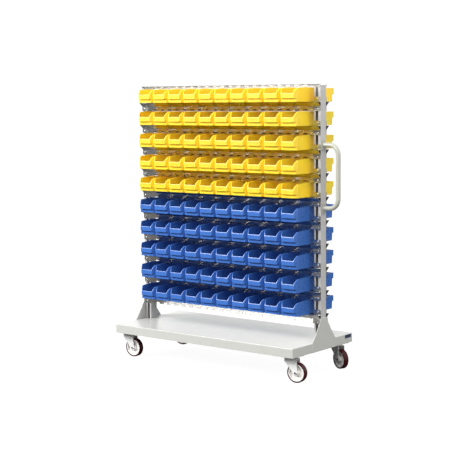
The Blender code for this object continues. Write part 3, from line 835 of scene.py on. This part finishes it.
def notch(piece, low):
    """Cut two notches a bin into the lower edge of a sheet."""
    top = low + NOTCH_DEPTH
    score(piece, lambda face: abs(face.normal.y) > 0.9, (0, 0, top), (0, 0, 1))
    for index in range(NOTCHES):
        at = MIDDLE_X + (index - (NOTCHES - 1) / 2) * BIN_PITCH / 2
        for side in (at - NOTCH_WIDTH / 2, at + NOTCH_WIDTH / 2):
            score(piece, lambda face: middle(face).z < top, (side, 0, 0), (1, 0, 0))
        take_out(piece, lambda face: middle(face).z < top and abs(middle(face).x - at) < MM)


def folded(piece, thickness, radius, material):
    """Round the bends of a sheet, give it its thickness and its finish."""
    bevel(piece, sharper(20), radius)
    thicken(piece, thickness)
    return dress(piece, material)


print("a rail is", round(2 * HALF_LENGTH / MM, 1), "mm long, with", NOTCHES, "notches")

# %% [markdown]
# The front rail is folded first. Its sheet is scored across near both ends, so that a tab can
# stand up outside the first score, and the flange can lean back inside the second one. The rear
# rail is its mirror image, without notches.

# %% Fold one rail
SHEET = 2 * MM
RAIL_BEND, TAB_CORNER = 1.2 * MM, 4 * MM
RAIL_FACE = RAIL_HIGH.y - SHEET
LEDGE = RAIL_HIGH.z - 26 * MM
KINK, FLANGE = 20 * MM, 44.2 * MM
FLANGE_FOOT = LEDGE - FLANGE
POST_WIDTH, LEAN_START, FLANGE_LEAN = 40 * MM, 8 * MM, 4 * MM
MIRROR_Y = Matrix.Scale(-1, 4, (0, 1, 0))


def off_middle(thing):
    """How far a thing stands from the middle of the rail's length."""
    return abs(middle(thing).x - MIDDLE_X)


def score_ends(length):
    """Score the rail across at this length from both of its ends."""
    for end in (1, -1):
        score(front_rail, everything, (MIDDLE_X + end * (HALF_LENGTH - length), 0, 0), (1, 0, 0))


front_rail = flat("front_rail", (RAIL_LOW.x, RAIL_LOW.y, LEDGE), (RAIL_HIGH.x, RAIL_FACE, LEDGE))
fold(front_rail, at_depth(RAIL_LOW.y), (0, RAIL_FACE - RAIL_LOW.y, -KINK))
fold(front_rail, at_height(LEDGE - KINK), (0, 0, KINK - FLANGE))
score_ends(POST_WIDTH)
fold(front_rail, lambda edge: at_height(LEDGE)(edge) and at_depth(RAIL_FACE)(edge)
     and off_middle(edge) > HALF_LENGTH - POST_WIDTH, (0, 0, RAIL_HIGH.z - LEDGE))
score_ends(POST_WIDTH + LEAN_START)
shift(front_rail, lambda v: at_height(FLANGE_FOOT)(v)
      and off_middle(v) < HALF_LENGTH - POST_WIDTH - LEAN_START + MM, (0, FLANGE_LEAN, 0))
pick(front_rail, "VERT", lambda v: at_height(RAIL_HIGH.z)(v)
     or at_height(FLANGE_FOOT)(v) and off_middle(v) > HALF_LENGTH - MM)
bpy.ops.mesh.bevel(offset=TAB_CORNER, segments=3, affect="VERTICES")
rear_rail = copied(front_rail, "rear_rail", MIRROR_Y)
pick(rear_rail, "FACE", everything)
bpy.ops.mesh.flip_normals()
notch(front_rail, FLANGE_FOOT)
for rail in (front_rail, rear_rail):
    folded(rail, SHEET, RAIL_BEND, RAIL_ZINC)
    print(rail.name, size_of(rail), "mm,", len(rail.data.polygons), "faces")

# %% [markdown]
# The rail bolts are low domed ones with a round socket. One bolt is turned from a short cylinder,
# and four copies make the set that holds one rail.

# %% Turn the bolts
BOLT_RADIUS, BOLT_HEAD = 4.2 * MM, 2.4 * MM
BOLT_FROM_END, BOLT_RISES = 15 * MM, (17 * MM, -33 * MM)
# as shares: the dome and the socket's depth of a head's height, the socket's rim of its radius
DOME, SOCKET_RIM, SOCKET_DEPTH = 0.6, 0.25, 0.5


def drum(name, radius, low, high, sides=48):
    """An upright cylinder about the origin."""
    drop_selection()
    bpy.ops.mesh.primitive_cylinder_add(vertices=sides, radius=radius, depth=high - low,
                                        location=(0, 0, (low + high) / 2))
    return started(name)


def bolt_head(name, radius, height, sides=14):
    """A domed bolt head that stands on the origin and points up."""
    piece = drum(name, radius, 0, height, sides)
    bevel(piece, at_height(height), height * DOME)
    inset(piece, at_height(height), radius * SOCKET_RIM)
    draw((0, 0, -height * SOCKET_DEPTH))
    return dress(piece, BOLT_ZINC)


def bolted(name, head, places, facing):
    """Copies of a bolt head at some places, all facing one way, as one piece."""
    turn = Vector((0, 0, 1)).rotation_difference(Vector(facing)).to_matrix().to_4x4()
    heads = [copied(head, name, Matrix.Translation(place) @ turn) for place in places]
    return joined(name, heads)


rail_bolt = bolt_head("rail_bolt", BOLT_RADIUS, BOLT_HEAD)
spots = [(MIDDLE_X + end * (HALF_LENGTH - BOLT_FROM_END), LEDGE + rise)
         for end in (1, -1) for rise in BOLT_RISES]
front_bolts = bolted("front_bolts", rail_bolt, [(x, RAIL_FACE, z) for x, z in spots], (0, -1, 0))
rear_bolts = bolted("rear_bolts", rail_bolt, [(x, -RAIL_FACE, z) for x, z in spots], (0, 1, 0))
print("bolt", size_of(rail_bolt), "mm, set", size_of(front_bolts), "mm")

# %% [markdown]
# Black plastic plugs cap the wedge that each rail leaves open at its ends. Their black is painted
# shade, the dark of the hollow inside the wedge. A plug is a short block, sliced along the slant of
# the rail, with its edges rounded. It stands out by about half a millimetre.

# %% Cut the plugs
PLUG_LENGTH, PLUG_PROUD, PLUG_INSET, PLUG_EDGE = 12 * MM, 0.6 * MM, 0.7 * MM, 0.6 * MM

plugs = []
for end in (1, -1):
    tip = MIDDLE_X + end * (HALF_LENGTH + PLUG_PROUD)
    ends = sorted((tip, tip - end * PLUG_LENGTH))
    plug = block("plug", (ends[0], RAIL_LOW.y + PLUG_INSET, LEDGE - KINK),
                 (ends[1], RAIL_HIGH.y - PLUG_INSET, LEDGE - PLUG_INSET))
    cut(plug, (0, RAIL_LOW.y + 2 * PLUG_INSET, LEDGE - PLUG_INSET),
        (0, -KINK, RAIL_LOW.y - RAIL_FACE))
    bevel(plug, sharper(30), PLUG_EDGE)
    plugs.append(plug)
front_plugs = dress(joined("front_plugs", plugs), PLUG_SHADE_BLACK)
rear_plugs = dress(copied(front_plugs, "rear_plugs", MIRROR_Y), PLUG_SHADE_BLACK)
print("plugs", size_of(front_plugs), "mm,", len(front_plugs.data.polygons), "faces")

# %% [markdown]
# The finished rail, its bolts and its plugs are copied to every row, at the heights that the CAD
# gives. A strip with a small forward edge closes the rack above the top row, notched like the
# rails.

# %% Hang the rails and fold the top strips
STRIP_BEND = 1.0 * MM
SETS = {"front": (front_rail, front_bolts, front_plugs),
        "rear": (rear_rail, rear_bolts, rear_plugs)}

for row in ROWS:
    for side, pieces in SETS.items():
        node = f"{side}_rail_{row:02d}"
        down = Matrix.Translation((0, 0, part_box(node)[1].z - RAIL_HIGH.z))
        for source in pieces:
            piece = copied(source, f"{side}_row_{row:02d}_{source.name.split('_')[1]}", down)
            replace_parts(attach(piece, "cart"), node)
for side, pieces in SETS.items():
    for piece in pieces:
        bpy.data.objects.remove(piece)
    low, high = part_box(f"{side}_top_strip")
    inner = high.y if side == "front" else low.y
    strip = flat(f"{side}_top_edge", (low.x, low.y, high.z), (high.x, high.y, high.z))
    fold(strip, at_depth(inner), (0, 0, low.z - high.z))
    if side == "front":
        notch(strip, low.z)
    folded(strip, SHEET, STRIP_BEND, RAIL_ZINC)
    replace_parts(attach(strip, "cart"), f"{side}_top_strip")
    print(side, "strip", size_of(strip), "mm")

# %% [markdown]
# ## Posts
# Each post is a lipped channel, rolled from thick sheet: a back, two sides and two lips with a
# mouth between them to the front, where the nuts of the rail bolts slide up and down. The channel
# is dark inside, which draws the black marks beside the rows. A block loses its two ends, its
# front is scored at the mouth and the strip between is taken out, the long edges are rounded and
# the wall gets its thickness. A closed tube with punched slots would look alike beside the rows,
# but the photograph shows the mouth run on down to the tray.

# %% Roll the posts
POST_LOW, POST_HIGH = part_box("right_post")
POST_SHEET, POST_BEND, POST_EDGE = 2.5 * MM, 3.5 * MM, 0.4 * MM
OUTER_LIP, MOUTH = 15.4 * MM, 14.4 * MM
TO_MIDDLE = Matrix.Translation((MIDDLE_X, 0, 0))
HALF_TURN = TO_MIDDLE @ Matrix.Rotation(pi, 4, "Z") @ TO_MIDDLE.inverted()
MIRROR_X = TO_MIDDLE @ Matrix.Scale(-1, 4, (1, 0, 0)) @ TO_MIDDLE.inverted()

right_post = block("right_channel_post", POST_LOW, POST_HIGH)
take_out(right_post, lambda face: abs(face.normal.z) > 0.9)
mouth_high = POST_HIGH.x - OUTER_LIP
mouth_low = mouth_high - MOUTH
for edge_x in (mouth_high, mouth_low):
    score(right_post, lambda face: face.normal.y < -0.9, (edge_x, 0, 0), (1, 0, 0))
take_out(right_post, lambda face: face.normal.y < -0.9 and mouth_low < middle(face).x < mouth_high)
bevel(right_post, sharper(30), POST_BEND, 4)
thicken(right_post, POST_SHEET)
bevel(right_post, sharper(60), POST_EDGE)
left_post = copied(right_post, "left_channel_post", MIRROR_X)
for post, node in ((right_post, "right_post"), (left_post, "left_post")):
    dress(post, POST_PAINT)
    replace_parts(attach(post, "cart"), node)
print("post", size_of(right_post), "mm,", len(right_post.data.polygons), "faces")

# %% [markdown]
# ## Gussets
# A flat plate at the foot of each post ties it to the end of the tray. It narrows upwards in four
# steps to a short tongue on the post, so a block is scored at those heights and each level is
# pulled in. Its corners are rounded and its edges broken. Painted countersunk screws hold it, sunk
# until only a thin rim stands out, so that nothing catches when carts stand end to end.

# %% Shape and bolt the gussets
GUSSET_LOW, GUSSET_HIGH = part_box("right_gusset")
# how high each step is, and what share of the width it keeps
GUSSET_STEPS = ((0.31, 0.89), (0.56, 0.65), (0.87, 0.36), (1.0, 0.29))
GUSSET_CORNER, BROKEN_EDGE = 7 * MM, 0.5 * MM
# places of the screws from the middle of the plate's foot, in millimetres
GUSSET_BOLTS = ((0, 152), (0, 118), (-88, 22), (88, 22), (-38, 22), (38, 22))
SCREW_RADIUS, SCREW_HEAD, SCREW_SINK = 6.5 * MM, 3.5 * MM, 3.45 * MM

right_gusset = block("right_gusset_plate", GUSSET_LOW, GUSSET_HIGH)
gusset_tall = GUSSET_HIGH.z - GUSSET_LOW.z
gusset_middle = (GUSSET_LOW.z + GUSSET_HIGH.z) / 2
for rise, share in GUSSET_STEPS:
    level = GUSSET_LOW.z + rise * gusset_tall
    if rise < 1:
        score(right_gusset, everything, (0, 0, level), (0, 0, 1))
    pick(right_gusset, "VERT", at_height(level))
    squeeze((1, share, 1), (0, 0, level))
bevel(right_gusset, lambda edge: along(0)(edge)
      and abs(middle(edge).z - gusset_middle) > 0.48 * gusset_tall, GUSSET_CORNER, 4)
bevel(right_gusset, sharper(60), BROKEN_EDGE, 1)
plate_bolt = bolt_head("plate_bolt", SCREW_RADIUS, SCREW_HEAD, 18)
face_x = GUSSET_HIGH.x - SCREW_SINK
places = [(face_x, y * MM, GUSSET_LOW.z + z * MM) for y, z in GUSSET_BOLTS]
right_bolts = bolted("right_gusset_bolts", plate_bolt, places, (1, 0, 0))
right_bolts.data.materials[0] = TRAY_PAINT
left_gusset = copied(right_gusset, "left_gusset_plate", HALF_TURN)
left_bolts = copied(right_bolts, "left_gusset_bolts", HALF_TURN)
for piece in (right_gusset, left_gusset):
    dress(piece, TRAY_PAINT)
for piece in (right_gusset, left_gusset, right_bolts, left_bolts):
    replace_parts(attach(piece, "cart"), piece.name.split("_")[0] + "_gusset")
print("gusset", size_of(right_gusset), "mm,", len(right_gusset.data.polygons), "faces")

# %% [markdown]
# ## Tray
# The tray is one sheet folded down on all four sides, with its corners welded and ground round. It
# is a block without a floor. Two channels are welded across under its ends for the casters, and a
# small plain plate is fixed to the right end later.

# %% Fold the tray and its channels
TRAY_LOW, TRAY_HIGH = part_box("base_tray")
PLATE_LOW, PLATE_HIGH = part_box("caster_front_right_plate")
TRAY_BEND = 3 * MM
CHANNEL_LIFT, CHANNEL_REACH = 0.3 * MM, 14 * MM

tray = block("folded_tray", TRAY_LOW, TRAY_HIGH)
take_out(tray, lambda face: face.normal.z < -0.9)
bevel(tray, sharper(30), TRAY_BEND, 4)
thicken(tray, SHEET)

channel_low = (PLATE_LOW.x - SHEET, TRAY_LOW.y + CHANNEL_REACH, PLATE_HIGH.z + CHANNEL_LIFT)
channel_high = (PLATE_HIGH.x + SHEET, TRAY_HIGH.y - CHANNEL_REACH, TRAY_HIGH.z - SHEET)
right_channel = block("right_caster_channel", channel_low, channel_high)
take_out(right_channel, lambda face: abs(face.normal.y) > 0.9 or face.normal.z > 0.9)
bevel(right_channel, sharper(30), TRAY_BEND, 3)
thicken(right_channel, SHEET)
left_channel = copied(right_channel, "left_caster_channel", HALF_TURN)
for piece in (tray, right_channel, left_channel):
    dress(piece, TRAY_PAINT)
print("tray", size_of(tray), "mm, channel", size_of(right_channel), "mm")

# %% [markdown]
# The blank plate is cut from thin anodised sheet, with rounded corners, and is glued to the tray's
# right end near the rear. It carries nothing.

# %% Fix the blank plate
# its corners on the tray's right end, as places along Y and Z
BLANK_FROM, BLANK_TO = (195 * MM, 157 * MM), (250 * MM, 174 * MM)
BLANK_THICK, BLANK_CORNER = 0.8 * MM, 2.5 * MM

blank_plate = block("blank_plate", (TRAY_HIGH.x, *BLANK_FROM),
                    (TRAY_HIGH.x + BLANK_THICK, *BLANK_TO))
bevel(blank_plate, along(0), BLANK_CORNER, 3)
dress(blank_plate, PLATE_ALLOY)
for piece in (tray, right_channel, left_channel, blank_plate):
    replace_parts(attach(piece, "cart"), "base_tray")
print("blank plate", size_of(blank_plate), "mm")

# %% [markdown]
# ## Push handle
# The handle is one round tube bent twice and welded to small plates, which are bolted to the post.
# A ring of vertices is drawn along the same path that the bender would follow: out from the post,
# round a quarter turn, down the grip, round again and back. A curve with a round bevel would give
# the same tube, but the bends then need control points to keep them true.

# %% Bend the handle
HANDLE_LOW, HANDLE_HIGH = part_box("push_handle")
TUBE = (HANDLE_HIGH.y - HANDLE_LOW.y) / 2
TUBE_WALL, BEND = 1.5 * MM, 48 * MM
ARM_HIGH, ARM_LOW = HANDLE_HIGH.z - TUBE, HANDLE_LOW.z + TUBE
BEND_X = HANDLE_HIGH.x - TUBE - BEND
ARM = BEND_X - HANDLE_LOW.x


def quarter_turn(height):
    """Spin the end of the tube a quarter turn about the bend's middle."""
    bpy.ops.mesh.spin(steps=10, angle=-pi / 2, center=(BEND_X, 0, height), axis=(0, 1, 0))


drop_selection()
bpy.ops.mesh.primitive_circle_add(vertices=28, radius=TUBE, fill_type="NOTHING",
                                  location=(HANDLE_LOW.x, 0, ARM_HIGH), rotation=(0, pi / 2, 0))
handle = started("bent_handle_tube")
pick(handle, "EDGE", everything)
draw((ARM, 0, 0))
quarter_turn(ARM_HIGH - BEND)
draw((0, 0, ARM_LOW - ARM_HIGH + 2 * BEND))
quarter_turn(ARM_LOW + BEND)
draw((-ARM, 0, 0))
modify(handle, "SOLIDIFY", {"thickness": TUBE_WALL, "offset": -1})
dress(handle, HANDLE_COAT, 30)
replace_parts(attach(handle, "cart"), "push_handle")
print("handle", size_of(handle), "mm")

# %% [markdown]
# A small plate with rounded corners carries each end of the tube. A ring of weld runs round the
# joint, and two bolts, one above and one below the tube, hold the plate on the post.

# %% Weld on the handle's plates
PAD, PAD_HALF_WIDTH, PAD_HALF_HEIGHT = 3 * MM, 17 * MM, 27 * MM
PAD_CORNER, PAD_EDGE = 7 * MM, 0.6 * MM
WELD, PAD_BOLT = 2 * MM, 20 * MM

for name, height in (("upper", ARM_HIGH), ("lower", ARM_LOW)):
    pad = block(f"{name}_handle_pad",
                (HANDLE_LOW.x, -PAD_HALF_WIDTH, height - PAD_HALF_HEIGHT),
                (HANDLE_LOW.x + PAD, PAD_HALF_WIDTH, height + PAD_HALF_HEIGHT))
    bevel(pad, along(0), PAD_CORNER, 4)
    bevel(pad, lambda edge: sharper(60)(edge) and middle(edge).x > HANDLE_LOW.x + MM, PAD_EDGE)
    drop_selection()
    bpy.ops.mesh.primitive_torus_add(major_segments=28, minor_segments=8, major_radius=TUBE,
                                     minor_radius=WELD, location=(HANDLE_LOW.x + PAD, 0, height),
                                     rotation=(0, pi / 2, 0))
    seam = started(f"{name}_weld_seam")
    for piece in (pad, seam):
        dress(piece, HANDLE_COAT)
    places = [(HANDLE_LOW.x + PAD, 0, height + side * PAD_BOLT) for side in (1, -1)]
    screws = bolted(f"{name}_handle_bolts", rail_bolt, places, (1, 0, 0))
    for piece in (pad, seam, screws):
        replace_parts(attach(piece, "cart"), "push_handle")
    print(name, "plate", size_of(pad), "mm")

# %% [markdown]
# ## Casters
# A swivel caster has a top plate bolted under the tray, a ball race under the plate, a fork
# pressed from sheet, and a wheel on a bolt. All four are alike and only turned differently, so
# one is modelled about its swivel axis, with the wheel trailing along X, and copied. The place and
# the turn of each copy are read from the CAD: the plate's middle and the wheel's middle.

# %% Model the plate and its race
FRONT_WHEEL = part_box("caster_front_right_tread")
WHEEL_MIDDLE = (FRONT_WHEEL[0] + FRONT_WHEEL[1]) / 2
AXLE_HEIGHT = WHEEL_MIDDLE.z
SWIVEL = (PLATE_LOW + PLATE_HIGH) / 2
TRAIL = hypot(WHEEL_MIDDLE.x - SWIVEL.x, WHEEL_MIDDLE.y - SWIVEL.y)
PLATE_TOP = PLATE_HIGH.z
PLATE_FACE = PLATE_TOP - 3 * MM
FORK_TOP = PLATE_FACE - 8.3 * MM
PLATE_HALF_X, PLATE_HALF_Y, PLATE_CORNER = 42 * MM, 50 * MM, 8 * MM
RACE_FOOT, RACE_RADIUS, RACE_TAPER, RACE_EDGE = FORK_TOP + 0.3 * MM, 27 * MM, 0.84, 1.5 * MM

top_plate = block("top_plate", (-PLATE_HALF_X, -PLATE_HALF_Y, PLATE_FACE),
                  (PLATE_HALF_X, PLATE_HALF_Y, PLATE_TOP))
bevel(top_plate, along(2), PLATE_CORNER, 4)
bevel(top_plate, sharper(60), BROKEN_EDGE, 1)
dress(top_plate, CASTER_ZINC)
race = drum("swivel_race", RACE_RADIUS, RACE_FOOT, PLATE_FACE, 40)
pick(race, "VERT", at_height(RACE_FOOT))
squeeze((RACE_TAPER, RACE_TAPER, 1), (0, 0, 0))
bevel(race, sharper(40), RACE_EDGE)
dress(race, RACE_SHADE_BLACK)
corners = [(x * MM, y * MM, PLATE_FACE) for x in (-32, 32) for y in (-39, 39)]
plate_bolts = bolted("plate_bolts", plate_bolt, corners, (0, 0, -1))
print("plate", size_of(top_plate), "mm, race", size_of(race), "mm")

# %% [markdown]
# The fork is one pressing: a long head and two blades that narrow to a round boss at the axle. Its
# side view is convex, so a block is sliced with planes that touch the boss, the faces between the
# blades are taken away, the press radius is rounded, and the sheet gets its thickness.

# %% Press the fork
FORK_SHEET, FORK_HALF, FORK_BEND, FORK_EDGE = 2.5 * MM, 19.5 * MM, 4 * MM, 0.4 * MM
BOSS, HEAD = 10 * MM, 35 * MM
# where the planes touch the boss, in degrees from the direction of the trail
FORK_SLICES = (-139, -115, -90, -65, -40, -18, 4)

fork = block("pressed_fork", (-HEAD, -FORK_HALF, AXLE_HEIGHT - BOSS),
             (TRAIL + BOSS, FORK_HALF, FORK_TOP))
boss = Vector((TRAIL, 0, AXLE_HEIGHT))
for degrees in FORK_SLICES:
    outward = Vector((cos(radians(degrees)), 0, sin(radians(degrees))))
    cut(fork, boss + BOSS * outward, outward)
take_out(fork, lambda face: abs(face.normal.y) < 0.9 and face.normal.z < 0.9)
bevel(fork, sharper(30), FORK_BEND, 4)
thicken(fork, FORK_SHEET)
bevel(fork, sharper(70), FORK_EDGE, 1)
dress(fork, CASTER_ZINC, 40)
print("fork", size_of(fork), "mm,", len(fork.data.polygons), "faces")

# %% [markdown]
# The wheel is turned from two cylinders on their own axis. The core keeps a rim, a sunken web and
# a hub, and the tread is a ring whose shoulders are rounded. The bore of the ring is bridged
# between its two open ends. A bolt with a hexagon head and a nut holds the wheel in the fork.

# %% Turn the wheel and its bolt
TREAD_RADIUS, TREAD_HALF, TREAD_ROUND = AXLE_HEIGHT, 14 * MM, 3.5 * MM
RIM_RADIUS, CORE_GAP, CORE_EDGE = 43 * MM, 0.1 * MM, 0.8 * MM
RIM_HALF, WEB_HALF, HUB_HALF = 13 * MM, 3.5 * MM, 16.5 * MM
# the core's steps from the rim inwards, as pairs of inset and depth
CORE_STEPS = ((5.5 * MM, 0), (1.2 * MM, WEB_HALF - RIM_HALF), (21 * MM, 0),
              (1.5 * MM, HUB_HALF - WEB_HALF))
SHAFT_RADIUS, NUT_RADIUS, NUT_TALL, NUT_EDGE = 4 * MM, 6.5 * MM, 4 * MM, 0.8 * MM
NUT_FOOT = FORK_HALF + 0.3 * MM
ON_AXLE = Matrix.Translation((TRAIL, 0, AXLE_HEIGHT)) @ Matrix.Rotation(pi / 2, 4, "X")


def is_end(face):
    """Whether a face closes an end of a cylinder about Z."""
    return abs(face.normal.z) > 0.99 and hypot(middle(face).x, middle(face).y) < 0.5 * MM


tread = drum("tread", TREAD_RADIUS, -TREAD_HALF, TREAD_HALF, 64)
bevel(tread, sharper(60), TREAD_ROUND, 4)
inset(tread, is_end, TREAD_RADIUS - TREAD_ROUND - RIM_RADIUS)
bpy.ops.mesh.delete(type="FACE")
pick(tread, "EDGE", lambda edge: len(edge.link_faces) == 1)
bpy.ops.mesh.bridge_edge_loops()

core = drum("core", RIM_RADIUS - CORE_GAP, -RIM_HALF, RIM_HALF, 64)
pick(core, "FACE", is_end)
for rim, depth in CORE_STEPS:
    bpy.ops.mesh.inset(thickness=rim, depth=depth)
bevel(core, sharper(60), CORE_EDGE)

shaft = drum("shaft", SHAFT_RADIUS, -FORK_HALF, FORK_HALF, 20)
head = drum("bolt_head", NUT_RADIUS, NUT_FOOT, NUT_FOOT + NUT_TALL, 6)
nut = drum("nut", NUT_RADIUS, -NUT_FOOT - NUT_TALL, -NUT_FOOT, 6)
for piece in (head, nut):
    bevel(piece, lambda edge: sharper(80)(edge) and abs(middle(edge).z) > FORK_HALF + 2 * MM,
          NUT_EDGE)
axle = joined("axle_bolt", [shaft, head, nut])
for piece, material, slot, smooth in ((tread, TREAD_MAROON, "tread_maroon", 50),
                                      (core, WHEEL_CREAM, "wheel_cream", 40),
                                      (axle, BOLT_ZINC, "caster_zinc", 30)):
    piece.data.transform(ON_AXLE)
    dress(piece, material, smooth)
    print(piece.name, size_of(piece), "mm")

# %% [markdown]
# Each piece is now copied to the four corners. The plate, its race and its bolts stay with the
# cart, the fork and the axle bolt swivel, and the wheel turns.

# %% Place the four casters
for corner in ("front_right", "front_left", "rear_right", "rear_left"):
    node = f"caster_{corner}"
    plate_box, wheel_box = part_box(f"{node}_plate"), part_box(f"{node}_tread")
    swivel = (plate_box[0] + plate_box[1]) / 2
    trail = (wheel_box[0] + wheel_box[1]) / 2 - swivel
    stand = Matrix.Translation((swivel.x, swivel.y, 0))
    turned = stand @ Matrix.Rotation(-Vector((1, 0)).angle_signed(trail.xy, 0), 4, "Z")
    for source, name, body, place, part in (
            (top_plate, "top_plate", "cart", stand, "plate"),
            (race, "swivel_race", "cart", stand, "plate"),
            (plate_bolts, "plate_bolts", "cart", stand, "plate"),
            (fork, "pressed_fork", f"{corner}_swivel", turned, "fork"),
            (axle, "axle_bolt", f"{corner}_swivel", turned, "axle"),
            (core, "nylon_core", f"{corner}_wheel", turned, "wheel_core"),
            (tread, "maroon_tread", f"{corner}_wheel", turned, "tread")):
        piece = copied(source, f"{corner}_{name}", place)
        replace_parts(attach(piece, body), f"{node}_{part}")
    print(corner, "stands at", [round(v, 3) for v in swivel.xy], "m")
for piece in (top_plate, race, plate_bolts, fork, axle, core, tread, rail_bolt, plate_bolt):
    bpy.data.objects.remove(piece)

# %% [markdown]
# ## The size
# The finished pieces are measured, and their box is printed. The finished pieces have to
# stay inside the CAD box.

# %% Measure the finished box
low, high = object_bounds()
print("finished box", [round(v, 4) for v in (*low, *high)])
